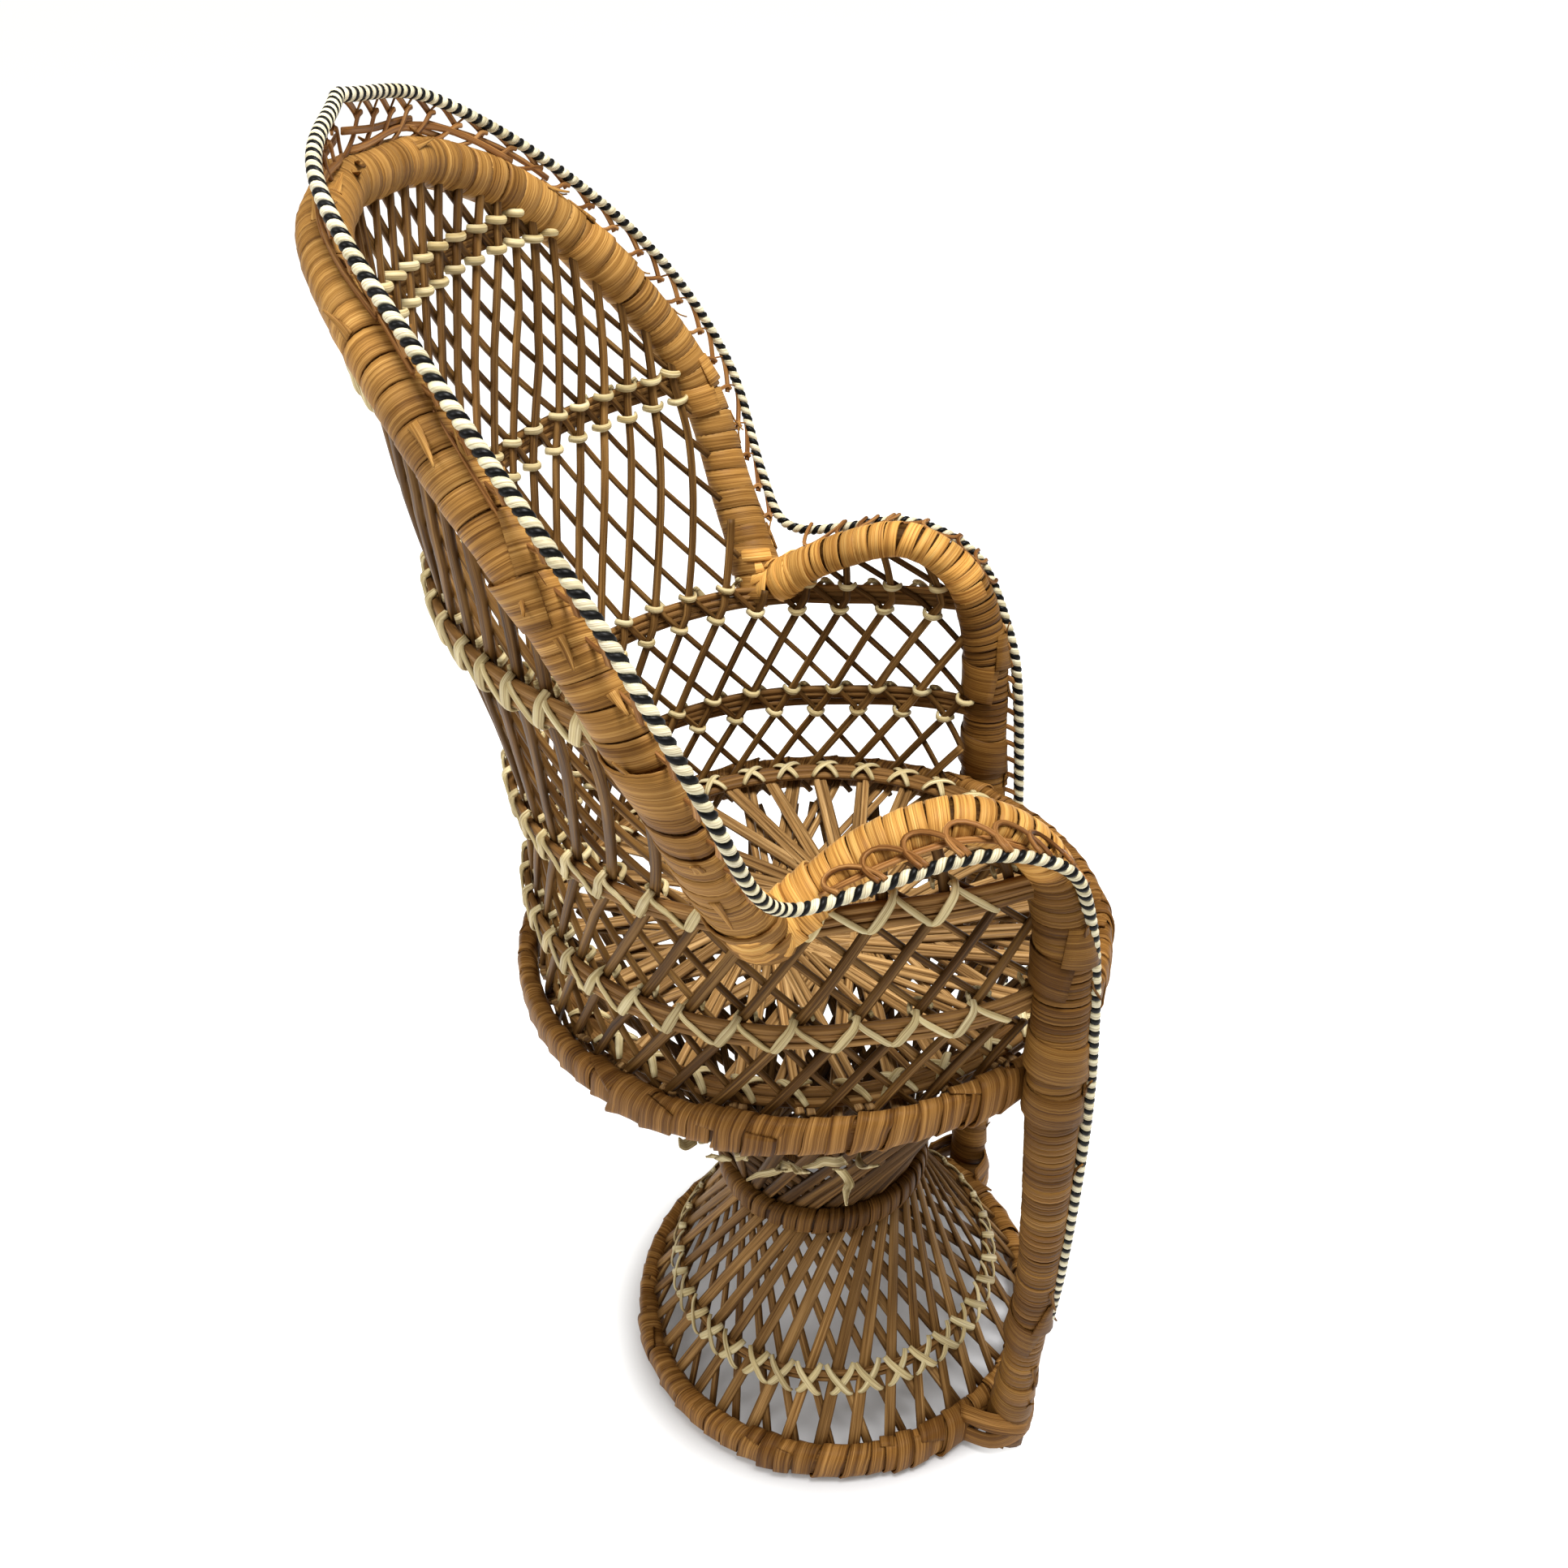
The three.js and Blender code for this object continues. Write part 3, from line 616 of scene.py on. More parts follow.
def build_feet():
    """Strips crossed over the outside of each post's foot and tucked round the base ring."""
    rng = np.random.default_rng(SEED + 11)
    for _, side, word in HALVES:
        foot = np.array(ARM_ROD[-1]) * np.array([side, 1, 0]) + SEAT_AXIS
        out = unit((foot - BASE["centre"]) * FLAT)
        along = np.array([-out[1], out[0], 0])
        sweeps = Sweeps(f"foot_ties_{word}")
        for slant in (1, -1, 1, -1):
            low, high = rng.uniform(5, 8), rng.uniform(14, 24)
            middle = (low + high) / 2
            steps = [(-13, -10, low), (-8, 2, low + 1), (0, 7.4, middle), (8, 2, high - 3), (11, -9, 15)]
            line = smooth_curve([foot + slant * a * along + b * out + z * UP for a, b, z in steps], 6)
            facing = unit((line - foot + 6 * out) * np.array([1, 1, 0.2]))
            line = line + rng.uniform(0, 0.9) * facing
            sweeps.sweep(line, facing, flat_section(6.5, 0.7, 0.08), rng.uniform(0.3, 0.8))
        sweeps.build(RING_BINDING, [])


# --- bound rings
def wrapped_ring(name, ring, replaces, strip, rng, base_tint, uneven=0.3, gap=0.3, half_wide=BAND_HALF_WIDE,
                 material=RING_BINDING):
    sweeps = Sweeps(name)
    half_tall = ring["half_tall"]
    path = circle(ring["centre"], ring["outer"] - half_wide, overlap=0.012)
    # A dark tube under the turns, at the lowest tint: painted shade that shows in the gaps between turns.
    tube(sweeps, path, half_tall - 0.6, half_wide - 0.6, 0, path.total / 1.012, 4.0, 0.04, 2.6, 20)
    wrap(sweeps, path, half_tall - 0.35, half_wide - 0.3, strip, 0, path.total, rng, square=2.6,
         uneven=uneven, gap=gap, lean=0.2, base_tint=base_tint, per_turn=28)
    return sweeps.build(material, replaces)


def ring_patches(name, ring, patches, half_wide, rng):
    """Wide extra turns over a ring, each (angle from the back, length, strip width, phase)."""
    sweeps = Sweeps(name)
    path = circle(ring["centre"], ring["outer"] - half_wide, overlap=0.5)
    for angle, length, strip, phase in patches:
        middle = math.radians(angle % 360) * (ring["outer"] - half_wide)
        wrap(sweeps, path, ring["half_tall"] + 0.35, half_wide + 0.45, strip, middle, middle + length, rng,
             square=2.6, thick=0.7, lean=0.3, base_tint=0.4, phase=phase, per_turn=28)
    sweeps.build(RING_BINDING, [])


def peel_ends():
    """Pale torn ends of cane that hang below the seat ring on one side."""
    rng = np.random.default_rng(SEED + 8)
    sweeps = Sweeps("peel_ends")
    for i in range(10):
        turn = math.radians(-99 + 4.6 * i + rng.normal(0, 2))
        around = np.array([math.sin(turn), math.cos(turn), 0])
        side = np.array([around[1], -around[0], 0])
        start = SEAT["centre"] + around * rng.uniform(66, 70) - 30 * UP
        steps = [start]
        heading = -0.55 * around - 0.8 * UP + side * rng.normal(0.2, 0.5)
        for _ in range(4):
            steps.append(steps[-1] + unit(heading) * rng.uniform(2.2, 3.8))
            heading = heading + rng.normal(0, 0.55, 3)
        line = smooth_curve(steps, 6)
        swell = np.interp(np.linspace(0, 1, len(line)), (0, 0.6, 1), (1, 1, 0.15))
        facing = around + rng.normal(0, 0.5, 3)
        sweeps.sweep(line, facing, flat_section(3.2, 0.5, 0.1), rng.uniform(0.2, 0.8), swell)
    sweeps.build(TIE, [])


def slivers(name, path, table, places, material):
    """Small torn points of binding that stand off a rod on its piping side."""
    rng = np.random.default_rng(SEED + 9)
    sweeps = Sweeps(name)
    size = rod_size(path, table, 0.0)
    for place in places:
        s = place * path.total + rng.normal(0, 1.5)
        t = np.linspace(0, 1, 7)
        along = s + rng.uniform(4, 9) * t * rng.choice(SIDES)
        centre, tangent, outward, side = path.at(along)
        phi = rng.uniform(0.5, math.pi - 0.5)
        x, y, nx, ny = oval(np.full(7, phi), ROD_WIDE + 0.1, size(along), 2.0)
        normals = side * nx[:, None] + outward * ny[:, None]
        points = centre + side * x[:, None] + outward * y[:, None] + normals * (2.2 * t**2)[:, None]
        sweeps.sweep(points, normals, flat_section(2.6, 0.4, 0.05), rng.uniform(0.2, 0.8), 1 - 0.85 * t)
    sweeps.build(material, [])


def build_rings():
    rng = np.random.default_rng(SEED + 1)
    seat_patches = [(36, 12, 7, 0.4), (70, 10, 7, 1.0), (126, 16, 8, 0.0), (-62, 20, 9, 0.6),
                    (-80, 14, 9, 1.2), (-126, 16, 8, 0.3), (180, 12, 8, 0.2)]
    base_patches = [(-74, 11, 6, 0.5), (-112, 12, 8, 0.2), (-131, 20, 8, 0.9), (129, 20, 8, 0.9),
                    (-20, 14, 8, 0.1)]
    ring_patches("seat_ring_patches", SEAT, seat_patches, BAND_HALF_WIDE, rng)
    ring_patches("base_ring_patches", BASE, base_patches, 3.5, rng)
    peel_ends()
    wrapped_ring("seat_ring_wrap", SEAT, ["seat_ring_binding"], 7.2, rng, 0.5)
    wrapped_ring("waist_ring_wrap", WAIST, ["waist_ring_binding"], 4.6, rng, 0.5, material=WAIST_BINDING_PAINTED_SHADE)
    wrapped_ring("base_ring_wrap", BASE, ["base_ring_binding"], 7.4, rng, 0.6, 0.4, 0.35, 3.5)


# --- woven lattice
def cane_runs(index, direction):
    """Heights and angles of each stretch of one cane that lies inside the frame."""
    row = np.arange(-3.6, 21.5, 0.15)
    z = row_height(row)
    angle = cane_angle(index + direction * row / 2, row)
    inside = (np.abs(angle) < POST_ANGLE - 1) & (z < edge_height(np.abs(angle) + 2.2) + 1.0)
    breaks = np.flatnonzero(np.diff(inside.astype(int))) + 1
    runs = zip(np.split(z, breaks), np.split(angle, breaks), np.split(inside, breaks))
    return [(heights, angles) for heights, angles, kept in runs if kept[0] and len(heights) > 4]


def build_weave():
    rng = np.random.default_rng(SEED + 2)
    # The outer layer's lower tone is painted shade: seen from inside the back, it lies behind the inner
    # layer.
    layers = {1: ("weave_inner", -0.75, 2.2, 0.62, [1, 3, 5, 7]),
              -1: ("weave_outer", 0.75, 2.4, 0.42, [2, 4, 6, 8])}
    for direction, (name, depth, wide, tone, panels) in layers.items():
        sweeps = Sweeps(name)
        for index in range(-36, 37):
            for z, angle in cane_runs(index, direction):
                wobble = 0.25 * np.sin(z / rng.uniform(14, 30) + rng.uniform(0, 6))
                points, outward = shell(angle + wobble * 0.5, z, depth + 0.3 * wobble)
                tint = np.clip(rng.normal(tone, 0.2), 0.05, 0.95)
                section = flat_section(wide * rng.uniform(0.88, 1.1), CANE_THICK, 0.1)
                narrowing = 1 + 0.2 * np.clip(direction * angle / 60, -1, 1)
                sweeps.sweep(points, outward, section, tint, narrowing)
        sweeps.build(WEAVE, [f"weave_panel_{i}" for i in panels])


# --- hoops and their ties
def hoop_angles(z):
    span = POST_ANGLE - 1.5
    if z > 250:
        angles = np.arange(0, 90, 0.25)
        span = angles[edge_height(angles) > z].max() + 1.0
    return np.arange(-span, span + 1.5, 1.5)


def row_angles(row):
    """Height and angles of the crossings in a row; row 0 is just below the lowest hoop."""
    out = np.arange(-20, 20) + (row % 2) / 2
    angle = cane_angle(out, np.full(len(out), float(row)))
    z = float(row_height(row))
    return z, angle[(np.abs(angle) < POST_ANGLE - 2) & (edge_height(angle) > z + 3)]


def build_hoop(name, row):
    rng = np.random.default_rng(SEED + 30 + row)
    z = float(row_height(row + 0.5))
    angle = hoop_angles(z)
    sweeps = Sweeps(f"{name}_canes")
    for lift, outward in ((-2.2, 2.6), (0.0, 2.8), (2.2, 2.6)):
        drift = 0.2 * np.sin(np.radians(angle) * rng.uniform(2, 4) + rng.uniform(0, 6))
        points, direction = shell(angle, z + lift + drift, outward)
        sweeps.sweep(points, direction, flat_section(2.35, 1.7, 0.05), rng.uniform(0.35, 0.8))
    sweeps.build(HOOP, [name])
    build_ties(name, row, rng)


def build_ties(name, row, rng):
    """Pale strips: short bands over the crossings inside, and uneven zigzag stitches outside."""
    sweeps = Sweeps(f"{name}_ties")
    low_z, low = row_angles(row)
    high_z, high = row_angles(row + 1)
    for z, angles, sign in ((low_z, low, -1), (high_z, high, 1)):
        for angle in angles:
            inside_band(sweeps, angle, z - 0.4 * sign, rng)
    for angle, after in zip(low[1:], low[:-1]):
        span = angle - after
        if span > STITCH_REACH:
            continue
        peak = angle - 0.33 * span + rng.normal(0, 0.4)
        stitch(sweeps, (angle + 0.1 * span, low_z - 0.5), (peak, high_z + 0.6), 2.7, 4.4, rng)
        stitch(sweeps, (peak + 0.08 * span, high_z + 0.3), (after + 0.02 * span, low_z - 0.4), 1.7, 4.2, rng)
    sweeps.build(TIE, [f"{name}_lashing"])


def inside_band(sweeps, angle, z, rng):
    reach = np.linspace(-1, 1, 11)
    half = math.degrees(2.7 / 88)
    tilt = rng.normal(0.35, 0.25)
    depth = -2.5 + 3.4 * np.abs(reach) ** 3
    points, direction = shell(angle + half * reach, z + rng.normal(0, 0.25) - tilt * reach, depth)
    sweeps.sweep(points, -direction, flat_section(2.2, 0.7, 0.3), rng.uniform(0.4, 0.9))


def stitch(sweeps, start, end, wide, bulge, rng):
    """One arm of the outside stitching, from (angle, height) to (angle, height), tucked in at both ends."""
    t = np.linspace(0, 1, 13)
    lift = bulge - 2.6 * np.abs(2 * t - 1) ** 5
    angle = start[0] + (end[0] - start[0]) * t
    z = start[1] + (end[1] - start[1]) * t
    points, direction = shell(angle, z, lift)
    swell = 0.7 + 0.35 * np.sin(math.pi * t)
    sweeps.sweep(points, direction, flat_section(wide, 0.6, 0.2), rng.uniform(0.3, 0.8), swell)


# --- hourglass spokes
SPOKES = 36


def straight_canes(name, low, high, twist, material, replaces, rng, wide):
    """Two layers of straight canes leaning opposite ways between two circles (centre, radius, z)."""
    sweeps = Sweeps(name)
    for direction in SIDES:
        for i in range(SPOKES):
            start = math.radians(360 / SPOKES * (i + 0.25 * direction) + rng.normal(0, 0.6))
            end = start + direction * math.radians(twist + rng.normal(0, 1.5))
            ends = []
            for (centre, radius, z), turn in ((low, start), (high, end)):
                across = np.array([math.sin(turn), math.cos(turn), 0])
                ends.append(np.array([0, centre[1], z]) + (radius - 0.7 * direction) * across)
            t = np.linspace(0, 1, 9)[:, None]
            points = ends[0] + t * (ends[1] - ends[0])
            outward = unit((points - np.array([0, low[0][1], 0])) * FLAT)
            section = flat_section((wide - 0.4 * direction) * rng.uniform(0.85, 1.12), 1.2, 0.1)
            # The inner layer's lower tone is painted shade: it lies behind the outer layer.
            tone = 0.42 - 0.14 * direction
            sweeps.sweep(points, outward, section, np.clip(rng.normal(tone, 0.2), 0.02, 0.95))
    return sweeps.build(material, replaces)


def build_spokes():
    rng = np.random.default_rng(SEED + 3)
    base_low = (BASE["centre"], BASE["outer"] - 5.3, 10.5)
    waist_in = (WAIST["centre"], WAIST["outer"] - 6.3, WAIST["centre"][2] - 3)
    straight_canes("base_spoke_canes", base_low, waist_in, 40, SPOKE, ["base_spokes"], rng, 3.5)
    upper_low = (WAIST["centre"], WAIST["outer"] - 7.4, WAIST["centre"][2] - 4)
    upper_high = (SEAT["centre"], SEAT["outer"] - 11.5, SEAT["centre"][2] - 6.5)
    straight_canes("upper_spoke_canes", upper_low, upper_high, 52, UPPER_SPOKE_PAINTED_SHADE, ["upper_spokes"], rng, 3.6)


def crossed_ties(name, ring, half_tall, replaces, rng):
    """Pale crosses that tie a hoop to the canes behind it."""
    sweeps = Sweeps(name)
    for i in range(SPOKES):
        middle = 360 / SPOKES * i
        for sign in SIDES:
            t = np.linspace(-1, 1, 11)
            angle = np.radians(middle + sign * t * 0.40 * 360 / SPOKES + rng.normal(0, 0.5))
            bulge = 1.1 - 1.4 * t**4 + (0.3 if sign > 0 else 0) - 0.45 * t * half_tall
            around = np.stack([np.sin(angle), np.cos(angle), 0 * angle], -1)
            points = ring["centre"] + around * (ring["outer"] + bulge)[:, None]
            points = points + (t * half_tall)[:, None] * UP
            swell = 1.15 - 0.35 * t**2
            sweeps.sweep(points, around, flat_section(2.4, 0.6, 0.2), rng.uniform(0.3, 0.8), swell)
    sweeps.build(TIE, replaces)


def hoop_canes(name, ring, offsets, replaces, rng, cane=1.1):
    sweeps = Sweeps(name)
    for out, lift in offsets:
        path = circle(ring["centre"] + lift * UP, ring["outer"] - 1.4 + out, overlap=0.004)
        sweeps.sweep(path.points, path.outward, round_section(cane), rng.uniform(0.35, 0.7))
    sweeps.build(HOOP, replaces)


def build_closed_hoops():
    rng = np.random.default_rng(SEED + 4)
    hoop_canes("base_hoop_canes", BASE_HOOP, ((0, -1.3), (0.1, 1.3)), ["base_hoop"], rng)
    crossed_ties("base_hoop_ties", BASE_HOOP, 4.8, ["base_hoop_lashing"], rng)
    hoop_canes("seat_hoop_canes", SEAT_HOOP, ((-2.0, 0), (0.2, 0.5), (2.4, 0.3)), ["seat_hoop"], rng, 1.3)
    top = dict(SEAT_HOOP, centre=SEAT_HOOP["centre"] + UP)
    seat_crosses("seat_hoop_ties", top, ["seat_hoop_lashing"], rng)


def seat_crosses(name, ring, replaces, rng):
    """Crosses that lie over the top of the seat's inner hoop."""
    sweeps = Sweeps(name)
    for i in range(SPOKES):
        middle = 360 / SPOKES * (i + 0.5)
        for sign in SIDES:
            t = np.linspace(-1, 1, 11)
            angle = np.radians(middle + sign * t * 0.30 * 360 / SPOKES + rng.normal(0, 0.5))
            radius = ring["outer"] - 1.6 + 4.0 * t
            lift = 1.3 + 0.9 * (1 - t**2) + (0.25 if sign > 0 else 0) - 1.5 * np.abs(t) ** 3
            around = np.stack([np.sin(angle), np.cos(angle), 0 * angle], -1)
            points = ring["centre"] + around * radius[:, None] + lift[:, None] * UP
            section = flat_section(2.0, 0.6, 0.2)
            sweeps.sweep(points, UP, section, rng.uniform(0.3, 0.8), 1.15 - 0.35 * t**2)
    sweeps.build(TIE, replaces)


# --- seat
def build_seat():
    """Groups of canes laid across the seat as chords, each group passing over the next."""
    rng = np.random.default_rng(SEED + 5)
    sweeps = Sweeps("seat_cane_star")
    groups = 30
    radius = SEAT["outer"] - 5.9
    level = SEAT_HOOP["centre"][2] - 3.4
    for i in range(groups):
        middle = 2 * math.pi * (i + 0.5) / groups
        offset = 12.0 + rng.normal(0, 1.2)
        for cane in range(2):
            out = offset + 2.5 * (cane - 0.5) + rng.normal(0, 0.12)
            half = math.sqrt(radius**2 - out**2)
            t = np.linspace(-1, 1, 25)
            lift = -1.9 * t + 0.6 * (1 - t**2) + 0.3 * rng.normal()
            ends = np.maximum(0, np.abs(t) - 0.93) * 14
            x = half * t
            y = np.full_like(t, out) + 0.15 * np.sin(3 * t + rng.uniform(0, 6))
            turn = np.array([[math.cos(middle), -math.sin(middle)], [math.sin(middle), math.cos(middle)]])
            flat = np.stack([x, y], -1) @ turn.T
            points = np.column_stack([flat, level + lift + ends]) + SEAT_AXIS
            tint = np.clip(rng.normal(0.55, 0.2), 0.1, 0.95)
            sweeps.sweep(points, UP, flat_section(2.5, 1.1, 0.12), tint)
    sweeps.build(SEAT_CANE, ["seat_canes"])


# --- edge piping and curls
def build_piping():
    path = Path(resampled(PIPING_CURVE, 2), outward_from_centre(resampled(PIPING_CURVE, 2)))
    rng = np.random.default_rng(SEED + 6)
    core = Sweeps("piping_core")
    tube(core, path, 1.0, 1.0, 0, path.total, 2.5, 0.2, sides=8)
    core.build(CURL, [])
    for name, material, phase, replaces in (("piping_cream", CREAM, 0.0, ["edge_piping"]),
                                            ("piping_black", BLACK, math.pi, [])):
        strand = Sweeps(name)
        turns = int(path.total / 4.1)
        u = np.linspace(0, turns, turns * 13 + 1)
        s = u / turns * path.total
        centre, tangent, outward, side = path.at(s)
        phi = 2 * math.pi * u + phase
        around = side * np.cos(phi)[:, None] + outward * np.sin(phi)[:, None]
        wide = 2.02 if name == "piping_cream" else 1.62
        tint = np.interp(u, np.arange(turns + 1), rng.uniform(0.35, 0.8, turns + 1))
        leg = np.clip((250 - centre[:, 2]) / 30, 0, 1)
        radius = 1.05 + 0.25 * leg
        section = flat_section(wide, 0.6, 0.22)
        strand.sweep(centre + radius[:, None] * around, around, section, tint, 1 + 0.2 * leg)
        strand.build(material, replaces)


def outward_from_centre(points):
    middle = SEAT_AXIS + np.array([0, 20, 250])
    return unit(points - middle)


class Gap:
    """The strip between a rod's outer edge and its piping; reach runs from 0 at the rod to 1."""

    def __init__(self, rod, piping, edge, side):
        self.side = side
        self.rod = rod
        self.rod_s = arc_lengths(rod)
        self.piping = piping
        self.piping_s = arc_lengths(piping)
        self.edge = edge
        self.total = self.rod_s[-1]

    def at(self, length, reach, lift=0.0):
        part = np.clip(np.array(length, float) / self.total, 0, 1)
        inner = pick(self.rod, self.rod_s, part * self.total)
        outer = pick(self.piping, self.piping_s, part * self.piping_s[-1])
        across = outer - inner
        size = np.linalg.norm(across, axis=1, keepdims=True)
        inner = inner + across / size * self.edge
        along = unit(np.gradient(self.rod, axis=0))
        flat = self.side * unit(np.cross(pick(along, self.rod_s, part * self.total), across))
        points = inner + (outer - inner) * np.array(reach)[:, None]
        return points + flat * np.broadcast_to(lift, len(points))[:, None], flat


def smooth_steps(steps):
    return smooth_curve([(a, b, 0) for a, b in steps], 6)[:, :2]


def scroll_link(strands, struts, gap, start, step, rng):
    """One link: a thin cane from the rod to a knot, a flat strut to the piping, and a thread."""
    knot = start + 0.72 * step
    reach = np.clip(rng.normal(0.60, 0.04), 0.5, 0.7)
    arm = smooth_steps([(start - 0.35 * step, -0.12), (start, 0.02), (start + 0.4 * step, 0.30),
                        (knot - 0.8, reach - 0.03), (knot + 1.3, reach + 0.05)])
    points, flat = gap.at(arm[:, 0], arm[:, 1], 0.5)
    strands.sweep(points, flat, flat_section(1.25, 0.6, 0.1), rng.uniform(0.05, 0.5))
    strut = smooth_steps([(knot + 0.9, reach - 0.05), (knot - 0.4, reach + 0.06),
                          (start + 0.28 * step, 0.9), (start - 0.05 * step, 0.97)])
    points, flat = gap.at(strut[:, 0], strut[:, 1], -0.4)
    struts.sweep(points, flat, flat_section(1.9, 0.6, 0.1), rng.uniform(0.3, 0.8))
    thread = smooth_steps([(knot - 1, reach - 0.05), (knot + 0.5, reach + 0.1), (knot + 0.42 * step, 0.98)])
    points, flat = gap.at(thread[:, 0], thread[:, 1], 0.1)
    strands.sweep(points, flat, flat_section(0.55, 0.35, 0.05), rng.uniform(0.0, 0.3))


def edge_cane(strands, gap, start, end, reach, rng, wide=1.7):
    """A long thin cane that follows the rod's outer edge."""
    length = np.linspace(start, end, max(6, int(abs(end - start) / 4)))
    drift = 0.06 * np.sin(length / 9 + rng.uniform(0, 6))
    points, flat = gap.at(length, np.array(reach + drift), 0.8 * np.sin(length / 14 + rng.uniform(0, 6)))
    strands.sweep(points, flat, flat_section(wide, 0.7, 0.1), rng.uniform(0.3, 0.8))


def hoop_arc(strands, gap, start, rng):
    """A cane bent into a C over the arm's outer edge, with its open side to the piping."""
    turn = np.linspace(-0.2, math.pi + 0.2, 13)
    length = start + 5.5 * (1 - np.cos(turn))
    points, flat = gap.at(length, 0.90 - 0.95 * np.sin(turn), 2.0 + 1.2 * np.sin(turn))
    strands.sweep(points, flat, flat_section(1.4, 0.8, 0.1), rng.uniform(0.1, 0.7))


LINK_STEP = 10.6
FAN_EDGE_CANES = [(0, 44, 0.34), (4, 58, 0.10), (30, 84, 0.22), (52, 98, 0.38), (96, 140, 0.06)]
ARM_ROD_LINE = frame_line(ARM_ROD[1:9])
ARM_PIPING_LINE = frame_line(ARM_PIPING)


def build_curls():
    rng = np.random.default_rng(SEED + 7)
    rod = frame_line(FAN_ROD[:7])
    piping = frame_line(FAN_PIPING)
    strands = Sweeps("scroll_canes_fan")
    struts = Sweeps("scroll_struts_fan")
    for flip, side, _ in HALVES:
        gap = Gap(flip(rod), flip(piping), 6.3, side)
        for i in range(int(round((gap.total - 8) / LINK_STEP))):
            scroll_link(strands, struts, gap, 2 + LINK_STEP * i + rng.normal(0, 0.4), LINK_STEP, rng)
        for start, end, reach in FAN_EDGE_CANES:
            edge_cane(strands, gap, start, end, reach, rng)
    strands.build(CURL, ["scroll_trim_fan"])
    struts.build(CURL, [])
    for flip, side, word in HALVES:
        arm_trim(word, Gap(flip(ARM_ROD_LINE), bowed(flip(ARM_PIPING_LINE)), 5.6, side), rng)


def arm_trim(word, gap, rng):
    """Long thin canes and C-shaped arcs on the arm, then short slanting strips down the post."""
    strands = Sweeps(f"scroll_canes_{word}")
    for start, end, reach in ((0, 74, 0.08), (6, 66, 0.30), (14, 80, -0.15)):
        edge_cane(strands, gap, start, end, reach, rng, 1.9)
    for start in np.arange(4, 62, 9.5):
        hoop_arc(strands, gap, start + rng.normal(0, 0.8), rng)
    for start in np.arange(76, gap.total - 8, 6.2):
        steps = smooth_steps([(start, -0.5), (start + 3.5, 0.35), (start + 7.0, 0.9)])
        points, flat = gap.at(steps[:, 0], steps[:, 1], rng.normal(0.6, 0.3))
        strands.sweep(points, flat, flat_section(1.8, 0.5, 0.1), rng.uniform(0.1, 0.6))
    strands.build(CURL, [f"scroll_trim_{word}"])


# --- everything else
# Near-black core: painted shade, so the gaps between turns of binding read as shaded seams.
CORE_PAINTED_SHADE_TONES = [(0.35, (0.03, 0.014, 0.006)), (0.65, (0.10, 0.05, 0.02))]
FLOOR_PAPER = [(0.0, (0.55, 0.55, 0.56)), (1.0, (0.45, 0.45, 0.45))]
# Glow of the floor: low near the chair, a painted shadow there, and even white farther out.
FLOOR_GLOW = [(0.0, (0.13, 0.13, 0.13)), (1.0, (0.93, 0.93, 0.925))]
# Radii in metres where the painted shadow starts to fade and where the glow is full.
GLOW_FROM = 0.067
GLOW_FULL = 0.086
FLOOR_SIZE = 12.0


def core_material():
    material, tree, shader = new_material("core_rod_painted_shade")
    tree.links.new(ramp(tree, place_noise(tree, 90.0), CORE_PAINTED_SHADE_TONES), shader.inputs["Base Color"])
    shader.inputs["Roughness"].default_value = 0.7
    return material


CORE = core_material()


def dress_cores():
    """The CAD core rods stay and show dark between the turns of binding; their near-black colour is painted
    shade.
    """
    for name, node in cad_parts.items():
        if name.endswith("_core"):
            node.data.materials.clear()
            node.data.materials.append(CORE)


def floor_material():
    """White paper that glows evenly away from the chair, as an evenly lit sweep does; near the chair the
    glow fades, a painted shadow, and the paper there also takes the lamps' shadow.
    """
    material, tree, shader = new_material("floor_paper")
    position = tree.nodes.new("ShaderNodeTexCoord")
    length = tree.nodes.new("ShaderNodeVectorMath")
    length.operation = "LENGTH"
    tree.links.new(position.outputs["Object"], length.inputs[0])
    away = tree.nodes.new("ShaderNodeMapRange")
    away.interpolation_type = "SMOOTHSTEP"
    for socket, value in zip(away.inputs[1:5], (GLOW_FROM, GLOW_FULL, 0.0, 1.0)):
        socket.default_value = value
    tree.links.new(length.outputs["Value"], away.inputs[0])
    tree.links.new(ramp(tree, away.outputs[0], FLOOR_PAPER), shader.inputs["Base Color"])
    tree.links.new(ramp(tree, away.outputs[0], FLOOR_GLOW), shader.inputs["Emission Color"])
    set_inputs(shader, {"Emission Strength": 1.0, "Roughness": 0.85, "Specular IOR Level": 0.1})
    return material


def add_floor():
    mesh = bpy.data.meshes.new("floor")
    corners = ((-1, -1), (1, -1), (1, 1), (-1, 1))
    mesh.from_pydata([(x * FLOOR_SIZE, y * FLOOR_SIZE, -0.0003) for x, y in corners], [], [(0, 1, 2, 3)])
    mesh.materials.append(floor_material())
    floor = bpy.data.objects.new("floor", mesh)
    floor.location.y = BASE["centre"][1] * MM
    bpy.context.scene.collection.objects.link(floor)


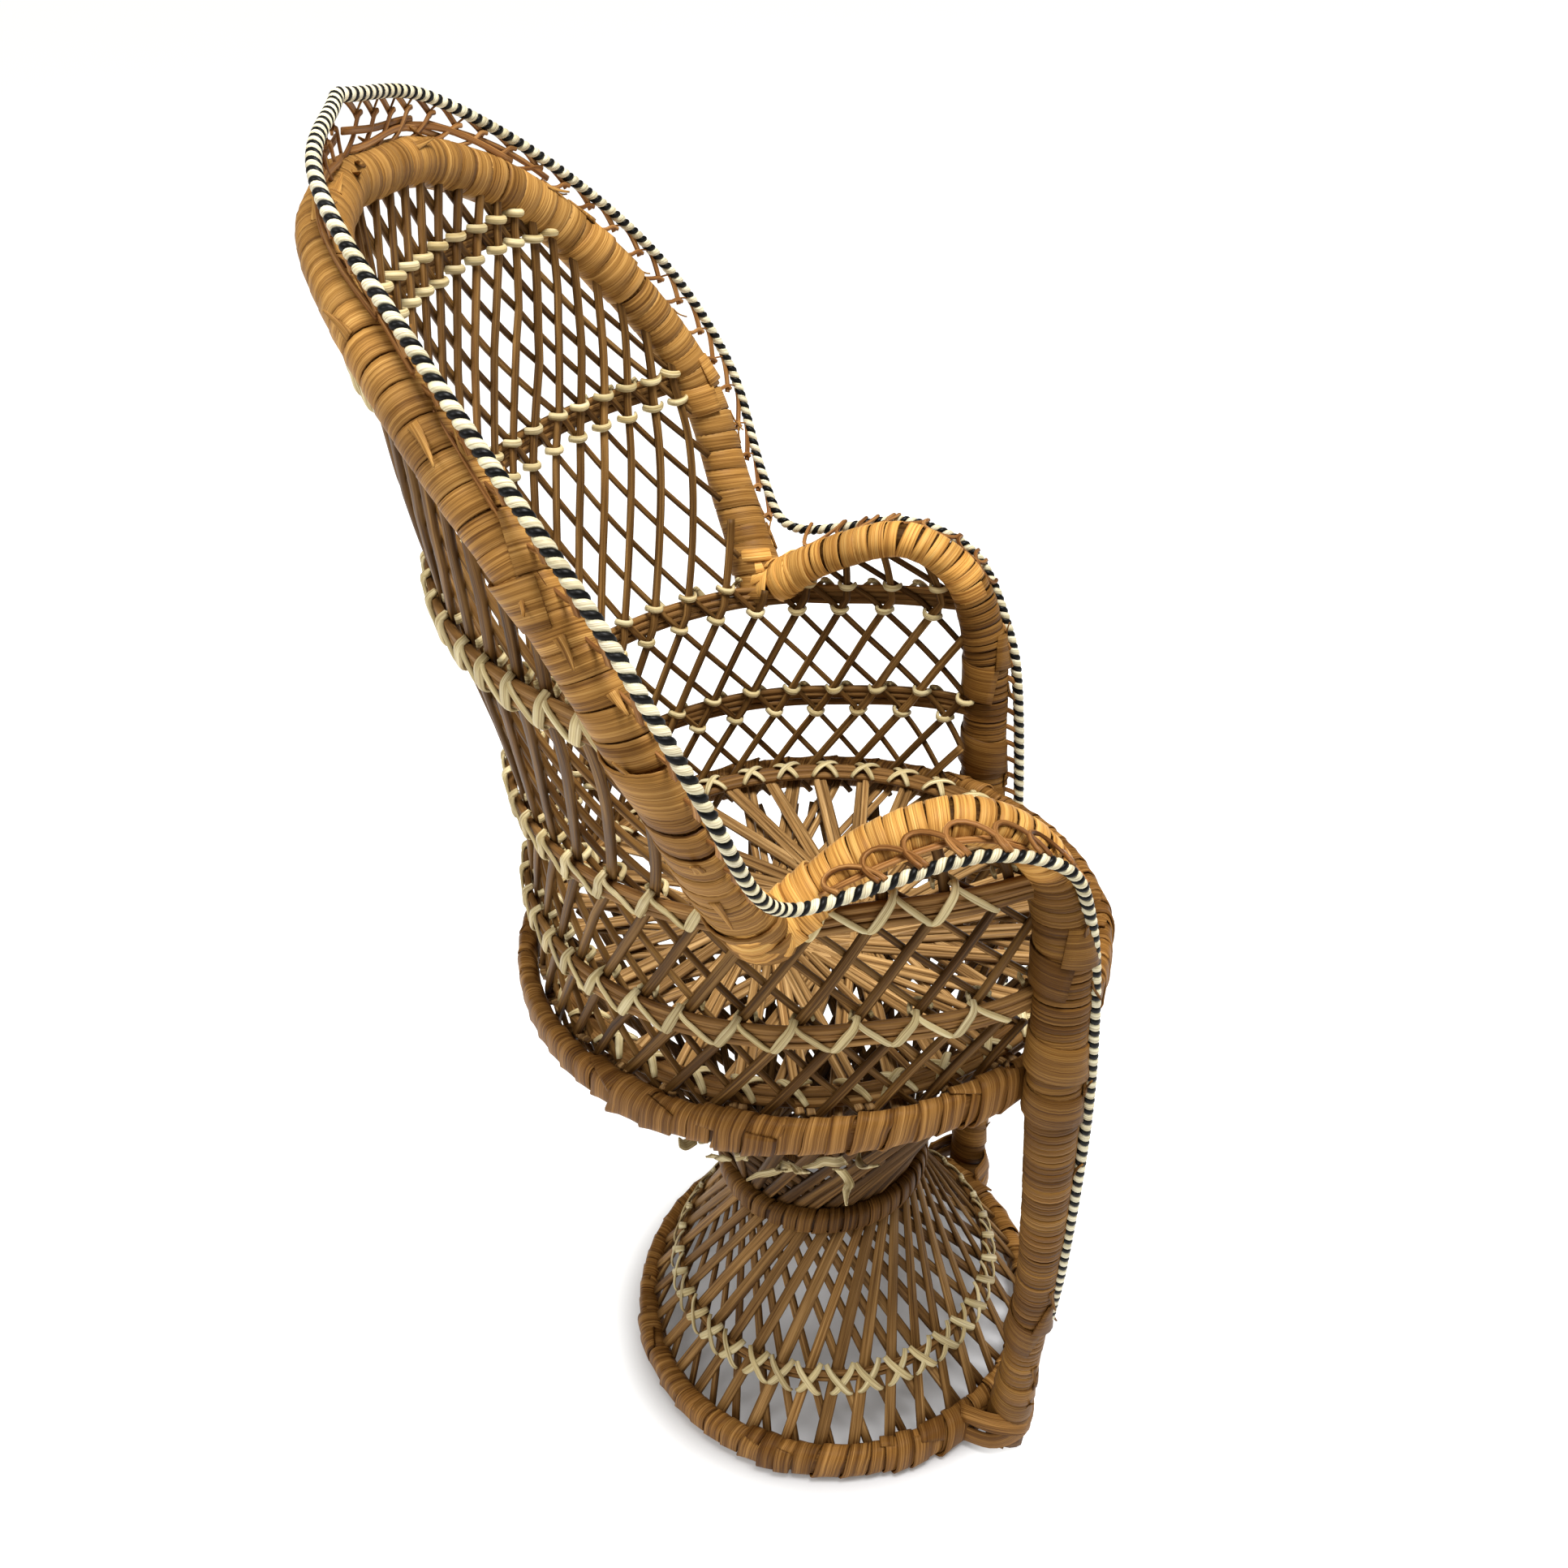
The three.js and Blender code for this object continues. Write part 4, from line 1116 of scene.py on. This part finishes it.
CAMERA = {"focal": 32.907, "place": (-338.1, 0.1, 446.2), "azimuth": 1.088, "down": 33.02, "roll": -3.087}


def add_camera():
    azimuth, down, roll = (math.radians(CAMERA[key]) for key in ("azimuth", "down", "roll"))
    ahead = Vector((math.cos(down) * math.cos(azimuth), math.cos(down) * math.sin(azimuth), -math.sin(down)))
    right = Vector((math.sin(azimuth), -math.cos(azimuth), 0))
    up = right.cross(ahead)
    rolled_right = math.cos(roll) * right + math.sin(roll) * up
    rolled_up = -math.sin(roll) * right + math.cos(roll) * up
    data = bpy.data.cameras.new("camera")
    data.lens = CAMERA["focal"]
    data.sensor_width = 36
    data.clip_start = 0.01
    camera = bpy.data.objects.new("camera", data)
    turn = Matrix((rolled_right, rolled_up, -ahead)).transposed()
    place = (Vector(CAMERA["place"]) + Vector(SEAT_AXIS)) * MM
    camera.matrix_world = Matrix.Translation(place) @ turn.to_4x4()
    bpy.context.scene.collection.objects.link(camera)
    bpy.context.scene.camera = camera


def add_area_light(name, place, target, size, power):
    data = bpy.data.lights.new(name, "AREA")
    data.shape = "DISK"
    data.size = size
    data.energy = power
    light = bpy.data.objects.new(name, data)
    light.location = place
    light.rotation_euler = (Vector(target) - Vector(place)).to_track_quat("-Z", "Y").to_euler()
    bpy.context.scene.collection.objects.link(light)


def add_lights():
    world = bpy.data.worlds.new("studio")
    world.use_nodes = True
    background = world.node_tree.nodes["Background"]
    background.inputs[0].default_value = (1.0, 0.88, 0.70, 1)
    background.inputs[1].default_value = 0.19
    bpy.context.scene.world = world
    middle = (0, 0, 0.2)
    add_area_light("top_light", (-0.25, -0.30, 1.75), middle, 0.8, 45)
    add_area_light("back_light", (-0.45, 0.75, 0.95), middle, 0.5, 5.5)


add_camera()
build_frame()
build_elbows()
build_feet()
build_rings()
build_weave()
for hoop, hoop_row in HOOP_ROWS.items():
    build_hoop(hoop, hoop_row)
build_spokes()
build_closed_hoops()
build_seat()
build_piping()
build_curls()
dress_cores()
add_floor()
add_lights()
bpy.context.scene.view_settings.view_transform = "Standard"
